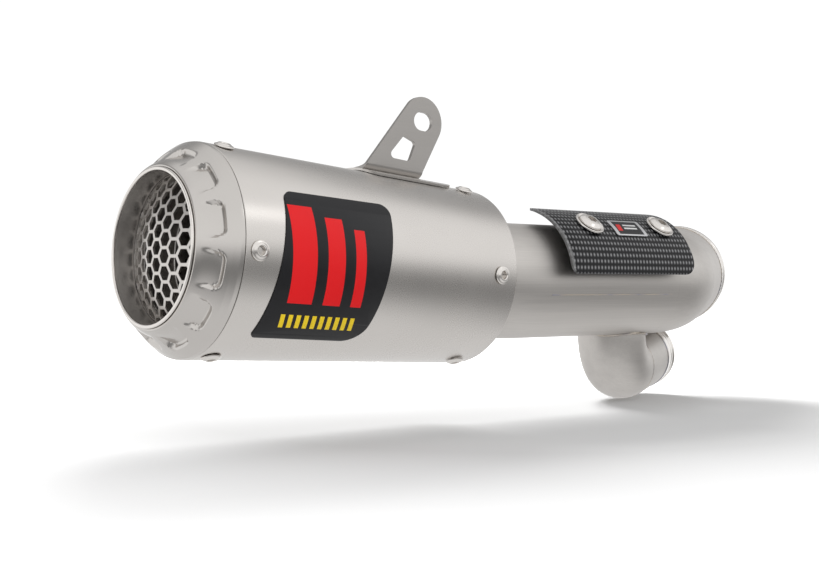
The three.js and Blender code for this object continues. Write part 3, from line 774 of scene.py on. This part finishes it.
def hanger_bracket():
    top = arc(HOLE, LUG_TOP_R, -25, 138, 22)
    corners = [(102, -1), (102, -15.5, 4), (140.4, -15.5, 4), (140.8, -1), (142.4, 3.2, 3)]
    foot = filleted(corners, 5, closed=False)
    slot = arc((HOLE[0] + HOLE_HALF_SLOT, HOLE[1]), HOLE_END_R, -90, 90, 12)
    slot += arc((HOLE[0] - HOLE_HALF_SLOT, HOLE[1]), HOLE_END_R, 90, 270, 12)
    window = filleted([(127.9, 19.9, 1), (136.3, 17.4, 1.8), (132.6, 7, 2), (117.4, 7.2, 2.2)], 4)
    strips = [FOLD_HALF * (k / 4 - 1) for k in range(9)] + slices(-15.5, -FOLD_HALF, 2.4)
    return folded(flat_sheet([foot + top, slot, window], BRACKET_WALL, strips, 0.35))


def hanger_doubler():
    outline = rounded_rectangle(94, 152, -SADDLE_HALF, SADDLE_HALF, (8, 8, 8, 8))
    bm = flat_sheet([outline], SADDLE_TOP - 0.35, slices(-SADDLE_HALF, SADDLE_HALF, 1.7), 0.4)
    return wrapped(bm, lambda s: sleeve_radius(s) + SHEET_GAP, 0)


piece("hanger_bracket_skin", hanger_bracket(), bracket_titanium, "silencer", SILENCER, ("hanger_bracket",),
      weighted=True)
piece("hanger_saddle_skin", hanger_doubler(), satin_titanium, "silencer", SILENCER, ("hanger_saddle",),
      weighted=True)

# %% [markdown]
# ### Film on the sleeve
# The film is black with bright bars. Its pattern is drawn from its own UV map, which was laid on while it
# was flat: slanted coordinates compared with two limits give a bar, and products of such tests crop it.

# %% Decal film
RED_BARS = ((0.12, 0.34, 0.10, 0.72), (0.44, 0.60, 0.16, 0.72), (0.70, 0.80, 0.22, 0.72))
YELLOW_BARS = 14
YELLOW_LEAN = 0.35
DECAL_S = (21.5, 84)
DECAL_HALF = 36.6
DECAL_CENTRE = 97.75
DECAL_LEAN = 0.12


def between(value, low, high):
    return (value > low) * (value < high)


def printed_film():
    paint = Paint("decal_film", Coat_Weight=0.05, Coat_Roughness=0.2, Specular_IOR_Level=0.2)
    u, v, _ = paint.parts(paint.coordinate("UV"))
    down = 1 - v
    red = None
    for left, right, low, high in RED_BARS:
        slant = u + (down - 0.4) * 0.22
        bar = between(slant, left, right) * between(v, low, high)
        red = bar if red is None else red + bar
    slant = u + down * YELLOW_LEAN
    stripe = (slant * YELLOW_BARS).math("FRACT")
    yellow = (stripe < 0.55) * between(v, 0.80, 0.90) * between(slant, 3 / YELLOW_BARS, 12.55 / YELLOW_BARS)
    haze = paint.noise(paint.coordinate(), 160, 4)
    ink = paint.mix(haze, (0.009, 0.009, 0.010, 1), (0.016, 0.016, 0.018, 1))
    ink = paint.mix(red, ink, (0.72, 0.006, 0.009, 1))
    paint.set("Base Color", paint.mix(yellow, ink, (0.86, 0.62, 0.02, 1)))
    paint.set("Roughness", 0.30 + haze * 0.12)
    return paint.material


decal_film = printed_film()
outline = rounded_rectangle(*DECAL_S, -DECAL_HALF, DECAL_HALF, (4, 6.5, 11, 3))
bm = flat_sheet([outline], 0.25, slices(-DECAL_HALF, DECAL_HALF, 1.2), 0.06,
                ((DECAL_S[0], -DECAL_HALF), (DECAL_S[1], DECAL_HALF)))
bm = wrapped(bm, lambda s: sleeve_radius(s) + SHEET_GAP, DECAL_CENTRE, DECAL_LEAN)
piece("sleeve_decal_film", bm, decal_film, "silencer", SILENCER, ("sleeve_decal",))

# %% [markdown]
# ## The link pipe
# Tubes are extruded along their route: an edge loop is pushed straight, spun round the centre of each
# bend, and pushed straight again. Sweeping a curve would be shorter to write, but it pinches a tight bend,
# and spinning gives true arcs. Solidify then grows the wall inwards.

# %% Tubes along a route
TUBE_SEGMENTS = 96
PIPE_R = 32.5
PIPE_WALL = 1.2
KNEE_ANGLE = math.acos(silencer_axis.x)
KNEE_BEND_R = 200
PIPE_STRAIGHT = 118.9
INLET_BEND, INLET_BEND_R, INLET_TILT = math.radians(31), 70, math.radians(7.1)
STUB_LENGTH = 50.5
JOINT_GAP = 0.3


def kept(geometry, kind):
    return [g for g in geometry if isinstance(g, kind)]


class Tube:
    """A tube grown from its first ring: a place, a direction, and the edge loop at its end."""

    def __init__(self, radius, at, along):
        self.at = Vector(at)
        self.along = Vector(along).normalized()
        self.bm = bmesh.new()
        turn = UP.rotation_difference(self.along).to_matrix().to_4x4()
        bmesh.ops.create_circle(self.bm, cap_ends=False, segments=TUBE_SEGMENTS, radius=radius,
                                matrix=Matrix.Translation(self.at) @ turn)
        self.loop = self.bm.verts[:] + self.bm.edges[:]

    def straight(self, length, pieces=1):
        for _ in range(pieces):
            edges = kept(self.loop, bmesh.types.BMEdge)
            grown = bmesh.ops.extrude_edge_only(self.bm, edges=edges)["geom"]
            verts = kept(grown, bmesh.types.BMVert)
            bmesh.ops.translate(self.bm, verts=verts, vec=self.along * length / pieces)
            self.loop = kept(grown, (bmesh.types.BMVert, bmesh.types.BMEdge))
        self.at = self.at + self.along * length
        return self

    def bend(self, angle, radius, side, steps):
        axis = self.along.cross(Vector(side)).normalized()
        centre = self.at + axis.cross(self.along) * radius
        turn = Matrix.Rotation(angle, 3, axis)
        self.loop = bmesh.ops.spin(self.bm, geom=self.loop, cent=centre, axis=axis, angle=angle,
                                   steps=steps, use_duplicate=False)["geom_last"]
        self.at = centre + turn @ (self.at - centre)
        self.along = turn @ self.along
        return self

    def walled(self, thickness):
        bmesh.ops.recalc_face_normals(self.bm, faces=self.bm.faces)
        bmesh.ops.solidify(self.bm, geom=self.bm.faces[:], thickness=thickness)
        bmesh.ops.recalc_face_normals(self.bm, faces=self.bm.faces)
        return self.bm


def carved(bm, cutter):
    """The solid cut by another, through a Boolean modifier on two throwaway objects."""
    solids = []
    for name, source in (("stock", bm), ("cutter", cutter)):
        mesh = bpy.data.meshes.new(name)
        source.to_mesh(mesh)
        source.free()
        solids.append(bpy.data.objects.new(name, mesh))
        bpy.context.scene.collection.objects.link(solids[-1])
    cut = solids[0].modifiers.new("cut", "BOOLEAN")
    cut.operation, cut.object, cut.solver = "DIFFERENCE", solids[1], "EXACT"
    graph = bpy.context.evaluated_depsgraph_get()
    result = bmesh.new()
    result.from_mesh(bpy.data.meshes.new_from_object(solids[0].evaluated_get(graph)))
    for solid in solids:
        bpy.data.objects.remove(solid)
    return result


def rod(radius, bottom, top, segments=96):
    """Solid upright cylinder, used as a cutter."""
    bm = bmesh.new()
    place = Matrix.Translation((0, 0, (bottom + top) / 2))
    bmesh.ops.create_cone(bm, cap_ends=True, segments=segments, radius1=radius, radius2=radius,
                          depth=top - bottom, matrix=place)
    return bm


# %% [markdown]
# ### Three lengths and a port
# The pipe is three lengths butt-welded together, and the welds are ground flush. The port for the branch is
# cut through the two lengths that it touches, so that a look into either inlet shows an open way through.

# %% Pipe lengths
BRANCH_SPOT = Vector((107.5, 12, 0))
BRANCH_R = 20.9
FERRULE_TO_KNEE = 20.8
pipe_start = Vector((math.cos(KNEE_ANGLE), 0, -math.sin(KNEE_ANGLE))) * -FERRULE_TO_KNEE
pipe_axis = -pipe_start.normalized()
knee_tangent = KNEE_BEND_R * math.tan(KNEE_ANGLE / 2)
inlet_side = (0, math.cos(INLET_TILT), math.sin(INLET_TILT))


def port_cutter():
    bm = rod(BRANCH_R - PIPE_WALL, -50, -7)
    bmesh.ops.translate(bm, verts=bm.verts, vec=BRANCH_SPOT)
    return bm


straight = Tube(PIPE_R, pipe_start, pipe_axis).straight(FERRULE_TO_KNEE - knee_tangent)
straight.bend(KNEE_ANGLE, KNEE_BEND_R, UP, 4).straight(PIPE_STRAIGHT - knee_tangent - JOINT_GAP, 4)
bend = Tube(PIPE_R, (PIPE_STRAIGHT, 0, 0), (1, 0, 0)).bend(INLET_BEND, INLET_BEND_R, inlet_side, 16)
stub = Tube(PIPE_R, bend.at + bend.along * JOINT_GAP, bend.along).straight(STUB_LENGTH - JOINT_GAP, 2)
bend_end, pipe_end, stub_axis = bend.at, stub.at, stub.along


def pipe_length(node, bm):
    piece(f"{node}_skin", bm, pipe_titanium, "link_pipe", PIPE, (node,))


pipe_length("link_pipe", carved(straight.walled(PIPE_WALL), port_cutter()))
pipe_length("inlet_bend", carved(bend.walled(PIPE_WALL), port_cutter()))
pipe_length("inlet_stub", stub.walled(PIPE_WALL))

# %% [markdown]
# ### The branch
# The lower branch drops out of the pipe, turns through a tight bend and runs beside the main inlet. It is
# the same kind of tube, and the pipe's own shape is subtracted from its top so that it saddles the pipe.

# %% Branch elbow
BRANCH_DROP = 53.5
BRANCH_BEND_R = 22.5
BRANCH_STRAIGHT = 38.9
branch_ahead = PIPE.to_3x3().normalized().inverted() @ Vector(mounts["branch_inlet"]["axis"]).normalized()
branch_pitch = math.asin(branch_ahead.z)
BRANCH_TOP = -5
leg = Tube(BRANCH_R, BRANCH_SPOT + Vector((0, 0, BRANCH_TOP)), (0, 0, -1))
leg.straight(BRANCH_DROP - BRANCH_BEND_R + BRANCH_TOP)
leg.bend(math.pi / 2 + branch_pitch, BRANCH_BEND_R, branch_ahead, 20)
elbow_end = leg.at.copy()
leg.straight(BRANCH_STRAIGHT, 2)


def pipe_core():
    core = Tube(PIPE_R + 0.4, (20, 0, 0), (1, 0, 0)).straight(PIPE_STRAIGHT - 20)
    core.bend(INLET_BEND, INLET_BEND_R, inlet_side, 12).straight(STUB_LENGTH)
    bmesh.ops.holes_fill(core.bm, edges=[e for e in core.bm.edges if e.is_boundary], sides=TUBE_SEGMENTS)
    bmesh.ops.recalc_face_normals(core.bm, faces=core.bm.faces)
    return core.bm


branch_end, branch_axis = leg.at, leg.along
pipe_length("branch_elbow", carved(leg.walled(PIPE_WALL), pipe_core()))

# %% [markdown]
# ### Inlet rings
# A machined ring is welded to each inlet. It keeps the pipe's bore, and outside it has two fine grooves
# and a rolled lip.

# %% Inlet rings


def inlet_ring(node, radius, place):
    inner, band, lip = radius - PIPE_WALL, radius + 0.3, radius + 0.8
    groove = radius - 0.2
    corners = [(-16, inner), (-16, radius, 0.2), (-15, band, 0.4), (-9.5, band, 0.3), (-9, groove, 0.2),
               (-8.4, groove, 0.2), (-7.9, band, 0.3), (-5, band, 0.3), (-4.5, groove, 0.2),
               (-3.9, groove, 0.2), (-3.4, radius + 0.5, 0.3), (-2, lip, 0.3), (0, lip, 0.6), (0, inner, 0.5)]
    round_piece(node, corners, polished_steel, "link_pipe", place)


inlet_ring("main_inlet_collar", PIPE_R, MAIN_INLET)
inlet_ring("branch_inlet_collar", BRANCH_R, BRANCH_INLET)

# %% [markdown]
# ## Weld beads
# A bead is a fine tube laid along the joint, and its radius swells and shrinks with each ripple. A curve
# with a bevel would need converting, so a small ring is set at each point instead and bridged to the next.
# The two beads between the pipe's lengths are ground flush and have the pipe's own finish.

# %% Beads
BEAD_SIDES = 10
RIPPLE_STEP = 0.7
RIPPLE_DEPTH = 0.16
SADDLE_LIFT = 0.2


def bead(path, radius, closed=True):
    """Rippled bead through a list of points: one small ring at each, bridged to the next."""
    bm = bmesh.new()
    rings = []
    for i, point in enumerate(path):
        ahead = path[(i + 1) % len(path)] if closed or i + 1 < len(path) else point
        behind = path[i - 1] if closed or i else point
        turn = UP.rotation_difference((ahead - behind).normalized()).to_matrix().to_4x4()
        size = radius * (1 + RIPPLE_DEPTH * math.sin(i * math.pi / 2))
        capped = not closed and i in (0, len(path) - 1)
        made = bmesh.ops.create_circle(bm, cap_ends=capped, segments=BEAD_SIDES, radius=size,
                                       matrix=Matrix.Translation(point) @ turn)["verts"]
        rings.append({edge for vert in made for edge in vert.link_edges})
    pairs = list(zip(rings, rings[1:])) + ([(rings[-1], rings[0])] if closed else [])
    for first, second in pairs:
        bmesh.ops.bridge_loops(bm, edges=list(first | second))
    bmesh.ops.recalc_face_normals(bm, faces=bm.faces)
    return bm


def ripples_round(radius):
    """Points round a circle, in fours, because a ripple is four points long."""
    return round(2 * math.pi * radius / RIPPLE_STEP / 4) * 4


def ring_path(centre, axis, radius):
    count = ripples_round(radius)
    axis = Vector(axis).normalized()
    across = axis.cross(Vector((0, 1, 0.3))).normalized()
    other = axis.cross(across)
    turns = [2 * math.pi * k / count for k in range(count)]
    return [Vector(centre) + (across * math.cos(t) + other * math.sin(t)) * radius for t in turns]


def saddle_path():
    """Where the branch's wall meets the pipe's, seen from above as a circle."""
    count = ripples_round(BRANCH_R)
    reach = BRANCH_R + SADDLE_LIFT
    points = []
    for k in range(count):
        turn = 2 * math.pi * k / count
        x = BRANCH_SPOT.x + reach * math.cos(turn)
        y = BRANCH_SPOT.y + reach * math.sin(turn)
        past = max(x - PIPE_STRAIGHT, 0)
        off = y - past ** 2 / (2 * INLET_BEND_R)
        points.append(Vector((x, y, -math.sqrt(max((PIPE_R + SADDLE_LIFT) ** 2 - off ** 2, 0)))))
    return points


def seam_path(start, step, count, degrees, radius_at):
    places = [start + k * step for k in range(count)]
    return [Vector((s, 0, 0)) + outward(degrees) * radius_at(s) for s in places]


# %% [markdown]
# Each bead's ring stands in the middle of its gap. A proud one sits a little outside the tube's wall and a
# flush one inside it. Two straight seams run along the pipe and along the sleeve.

# %% Laying the beads
PROUD, FLUSH = 0.05, -0.25
HALF_GAP = JOINT_GAP / 2
bend_start = Vector((PIPE_STRAIGHT - HALF_GAP, 0, 0))

for name, centre, axis, radius, size, finish in (
    ("ferrule_weld", pipe_start - pipe_axis * HALF_GAP, pipe_axis, PIPE_R + PROUD, 0.55, weld_titanium),
    ("bend_weld", bend_start, (1, 0, 0), PIPE_R + FLUSH, 0.28, pipe_titanium),
    ("stub_weld", bend_end + stub_axis * HALF_GAP, stub_axis, PIPE_R + FLUSH, 0.28, pipe_titanium),
    ("main_ring_weld", pipe_end + stub_axis * HALF_GAP, stub_axis, PIPE_R + PROUD, 0.45, weld_titanium),
    ("branch_elbow_weld", elbow_end, branch_axis, BRANCH_R - 0.2, 0.4, weld_titanium),
    ("branch_ring_weld", branch_end + branch_axis * HALF_GAP, branch_axis, BRANCH_R + PROUD, 0.4,
     weld_titanium),
):
    piece(name, bead(ring_path(centre, axis, radius), size), finish, "link_pipe", PIPE)

piece("branch_saddle_weld", bead(saddle_path(), 1.0), weld_titanium, "link_pipe", PIPE)
pipe_seam = seam_path(8, 1.2, 88, 104, lambda _: PIPE_R)
piece("pipe_seam", bead(pipe_seam, 0.3, False), weld_titanium, "link_pipe", PIPE)
sleeve_seam = seam_path(4, 1.6, 95, 262, lambda s: sleeve_radius(s) - 0.05)
piece("sleeve_seam", bead(sleeve_seam, 0.35, False), weld_titanium, "silencer", SILENCER)

# %% [markdown]
# ## The heat shield
# The shield is moulded carbon twill under lacquer. On the real shield one set of tows faces the light and
# the other stays dark, so rows of short bright floats show, each row stepped sideways from the last. Here
# those floats are a painted highlight: the base colour and the metallic weight brighten at the crown of
# each float. The rows are drawn from the UV map, which is in millimetres on the flat sheet.

# %% Carbon twill
SHIELD_R = 40.3
SHIELD_WALL = 1.4
SHIELD_X = (15, 122.5)
SHIELD_CENTRE = 40
SHIELD_HALF = 31.4
SCREWS = ((43.5, "outlet_side"), (105.6, "inlet_side"))
TOW_PITCH, FLOAT_LENGTH = 2.8, 3.6


def twill():
    paint = Paint("carbon", Coat_Weight=0.12, Coat_Roughness=0.05, Roughness=0.42, Specular_IOR_Level=0.12)
    uv = paint.coordinate("UV")
    u, v, _ = paint.parts(uv)
    across, along = u / TOW_PITCH, v / FLOAT_LENGTH
    tow = (across + along.math("FLOOR") * 0.25 + along.math("FRACT") * 0.2).math("FRACT")
    crown = (tow * math.pi).math("SINE") * (along.math("FRACT") * math.pi).math("SINE")
    fibre_lines = paint.noise(paint.stretched(uv, (9, 0.6, 1)), 1.0, 2)
    # Painted highlight: each float's crown is brightened in the base colour and metallic weight instead of
    # being lit by the lamps.
    painted_glint = crown.math("POWER", 3.2) * (0.3 + fibre_lines * 0.9)
    base = paint.mix(painted_glint, (0.004, 0.004, 0.005, 1), (0.36, 0.36, 0.37, 1))
    frayed = paint.noise(paint.stretched(uv, (0.5, 1.6, 1)), 1.0, 4)
    edge = (u < 0.8 + frayed * 2.2) * (0.1 + frayed * 0.8)
    paint.set("Base Color", paint.mix(edge, base, (0.30, 0.30, 0.30, 1)))
    paint.set("Metallic", painted_glint * 0.6)
    paint.bump(crown, 0.12)
    return paint.material


carbon = twill()


def heat_shield():
    x0, x1 = SHIELD_X
    outline = rounded_rectangle(x0, x1, -SHIELD_HALF, SHIELD_HALF, (19, 15, 9, 5))
    holes = [arc((x, 0), 3.4, 0, 345, 23) for x, _ in SCREWS]
    bm = flat_sheet([outline, *holes], SHIELD_WALL, slices(-SHIELD_HALF, SHIELD_HALF, 1.6), 0.4,
                    ((x0, -SHIELD_HALF), (x0 + 1, 1 - SHIELD_HALF)))
    return wrapped(bm, lambda _: SHIELD_R, SHIELD_CENTRE)


piece("heat_shield_twill", heat_shield(), carbon, "link_pipe", PIPE, ("heat_shield",))

# %% [markdown]
# ### Badge
# The badge is a small printed plate with plain bars on a dark field and a bright metal margin.

# %% Badge
BADGE_X = (61, 88)
BADGE_HALF = 6.4
BADGE_CENTRE = 43


def printed_plate():
    paint = Paint("badge_plate", Metallic=0.7)
    u, v, _ = paint.parts(paint.coordinate("UV"))
    brushing = paint.noise(paint.stretched(paint.coordinate(), (40, 3000, 3000)), 1.0, 3)
    metal = paint.mix(brushing, (0.42, 0.42, 0.43, 1), (0.70, 0.70, 0.71, 1))
    field = between(u, 0.10, 0.90) * between(v, 0.08, 0.92)
    face = paint.mix(field, metal, (0.02, 0.02, 0.022, 1))
    red = between(u + v * 0.1, 0.20, 0.34) * between(v, 0.3, 0.72)
    face = paint.mix(red, face, (0.75, 0.02, 0.02, 1))
    pale = between(u + v * 0.1, 0.42, 0.84) * (between(v, 0.30, 0.40) + between(v, 0.50, 0.60))
    paint.set("Base Color", paint.mix(pale, face, (0.80, 0.80, 0.80, 1)))
    paint.set("Roughness", 0.28 + brushing * 0.1)
    return paint.material


outline = rounded_rectangle(*BADGE_X, -BADGE_HALF, BADGE_HALF, (1.5,) * 4)
bm = flat_sheet([outline], 0.5, slices(-BADGE_HALF, BADGE_HALF, 1.2), 0.15,
                ((BADGE_X[0], -BADGE_HALF), (BADGE_X[1], BADGE_HALF)))
bm = wrapped(bm, lambda _: SHIELD_R + SHIELD_WALL + SHEET_GAP, BADGE_CENTRE)
piece("shield_badge_plate", bm, printed_plate(), "link_pipe", PIPE, ("shield_badge",))

# %% [markdown]
# ### Shield fasteners
# Each screw clamps the shield through a cup washer onto a spacer and a boss that is welded to the pipe. The
# button head's hexagon socket is a boolean cut, because a turned outline can't make flat walls.

# %% Bosses, spacers, washers and screws


def hex_socket(bm):
    cutter = rod(2.9, 0.9, 4, 6)
    lying = Matrix.Rotation(math.pi / 2, 3, "Y")
    bmesh.ops.rotate(cutter, verts=cutter.verts, cent=(0, 0, 0), matrix=lying)
    return carved(bm, cutter)


def fastener(kind, x, side, corners, distance, finish):
    is_screw = kind == "screw"
    bm = turned(filleted(corners, 4, not is_screw), 48, not is_screw)
    if is_screw:
        bm = hex_socket(bm)
    bmesh.ops.transform(bm, matrix=standing(x, SHIELD_CENTRE, distance), verts=bm.verts)
    node = f"shield_{kind}_{side}"
    piece(f"{node}_skin", bm, finish, "link_pipe", PIPE, (node,))


SHIELD_TOP = SHIELD_R + SHIELD_WALL
BOSS = [(31.4, 3.3), (31.4, 7.6, 0.2), (33.2, 7, 0.8), (38, 7, 0.5), (38, 3.3, 0.3)]
SPACER = [(38.3, 3.4), (38.3, 6, 0.3), (39.9, 6, 0.3), (39.9, 3.4)]
WASHER = [(0, 3.4), (0, 8.2, 0.3), (0.5, 9, 0.3), (1.5, 8.7, 0.4), (1.1, 7.6, 0.6), (0.7, 6.4, 0.8),
          (0.9, 3.4)]
SCREW = [(2.6, 0), (2.6, 2.4, 0.8), (2.3, 4.6, 2), (0.8, 6.9, 0.7), (0, 6.9, 0.2), (0, 3), (-7, 3, 0.4),
         (-7, 0)]
for x, side in SCREWS:
    fastener("boss", x, side, BOSS, 0, pipe_titanium)
    fastener("spacer", x, side, SPACER, 0, polished_steel)
    fastener("washer", x, side, WASHER, SHIELD_TOP + SHEET_GAP, polished_steel)
    fastener("screw", x, side, SCREW, SHIELD_TOP + 1.5, rivet_steel)

# %% [markdown]
# ## Studio
# Metal shows its surroundings, so the light is mostly a matter of what stands around it. The world has
# two halves. The viewer's half is bright above the horizon and has a dark band below it, which draws the
# dark line along the sleeve. The far half is the white backdrop with a dimmer ceiling. A small soft box
# adds sparkle, and a lamp behind throws the soft shadow forward. The floor hides from reflections, and it
# glows a little more with distance, so that only the shadow is darker than white.

# %% Floor, world, lights and camera
CAMERA_AT = Vector((-0.72471, -0.56796, -0.00869))
CAMERA_HEADING = 0.704
LENS_MM = 57.14
FLOOR_HALF = 12
FLOOR_GAP = 0.0012
GLOW_CENTRE = (-0.2, -0.04)
GLOW = [(0.0, 0.0), (0.18, 0.04), (0.36, 0.42), (0.60, 0.75)]


def aimed(made, at, target):
    made.location = at
    made.rotation_euler = (Vector(target) - Vector(at)).to_track_quat("-Z", "Y").to_euler()
    bpy.context.scene.collection.objects.link(made)
    return made


def soft_box(name, at, target, width, height, watts):
    lamp = bpy.data.lights.new(name, "AREA")
    lamp.shape = "RECTANGLE"
    lamp.size, lamp.size_y, lamp.energy = width, height, watts
    return aimed(bpy.data.objects.new(name, lamp), at, target)


def floor():
    paint = Paint("floor", Roughness=0.9, Emission_Strength=1.0)
    place = paint.coordinate()
    grain = paint.noise(place, 6, 2)
    paint.set("Base Color", paint.mix(grain, (*grey(0.60), 1), (*grey(0.62), 1)))
    x, y, _ = paint.parts(place)
    x, y = x - GLOW_CENTRE[0], y - GLOW_CENTRE[1]
    stops = [(distance, grey(level)) for distance, level in GLOW]
    glow = paint.node("ShaderNodeValToRGB", {"stops": stops}, {0: (x * x + y * y).math("SQRT")})
    paint.set("Emission Color", glow)
    bm = bmesh.new()
    bmesh.ops.create_grid(bm, x_segments=2, y_segments=2, size=FLOOR_HALF)
    bmesh.ops.translate(bm, verts=bm.verts, vec=(0, 0, cad_box[0][2] - FLOOR_GAP))
    mesh = bpy.data.meshes.new("floor")
    bm.to_mesh(mesh)
    bm.free()
    mesh.materials.append(paint.material)
    made = bpy.data.objects.new("floor", mesh)
    bpy.context.scene.collection.objects.link(made)
    made.visible_glossy = False


def grey_ramp(nodes, value, levels):
    """Ramp over heights from -1 to 1, from (height, level) pairs."""
    stops = [(height * 0.5 + 0.5, grey(level)) for height, level in levels]
    return nodes.node("ShaderNodeValToRGB", {"stops": stops}, {0: value * 0.5 + 0.5})


VIEWER_SIDE = [(-1, 0.85), (-0.72, 0.85), (-0.56, 0.60), (-0.40, 0.34), (-0.22, 0.26), (-0.09, 0.38),
               (0.02, 0.66), (0.12, 1.0), (0.22, 1.08), (1, 1.0)]
FAR_SIDE = [(-1, 0.85), (-0.35, 0.85), (-0.26, 1.05), (0.22, 1.05), (0.28, 0.55), (0.45, 0.40),
            (0.60, 0.40), (0.72, 0.55), (0.82, 0.85), (1, 0.95)]


def studio_world():
    world = bpy.data.worlds.new("studio")
    bpy.context.scene.world = world
    world.use_nodes = True
    nodes = Nodes(world.node_tree)
    _, depth, height = nodes.parts(nodes.coordinate("Generated"))
    side = (depth * 3.5 + 0.5).math("MAXIMUM", 0).math("MINIMUM", 1)
    sky = nodes.mix(side, grey_ramp(nodes, height, VIEWER_SIDE), grey_ramp(nodes, height, FAR_SIDE))
    background = nodes.node("ShaderNodeBackground", None, {0: sky, 1: 1.0})
    nodes.node("ShaderNodeOutputWorld", None, {0: background})


floor()
studio_world()
middle = Vector((-0.22, -0.04, 0))
soft_box("front_soft_box", (0.35, -1.25, 1.0), middle, 0.6, 0.3, 0.45)
soft_box("back_lamp", (0.18, 0.66, 0.50), middle, 0.4, 0.4, 17).visible_glossy = False
camera = bpy.data.cameras.new("camera")
camera.lens = LENS_MM
camera.sensor_width = 36
camera.clip_start = 0.01
look = Vector((math.sin(CAMERA_HEADING), math.cos(CAMERA_HEADING), 0))
bpy.context.scene.camera = aimed(bpy.data.objects.new("camera", camera), CAMERA_AT, CAMERA_AT + look)
bpy.context.scene.view_settings.view_transform = "Standard"
print("camera at", [round(c, 3) for c in CAMERA_AT])
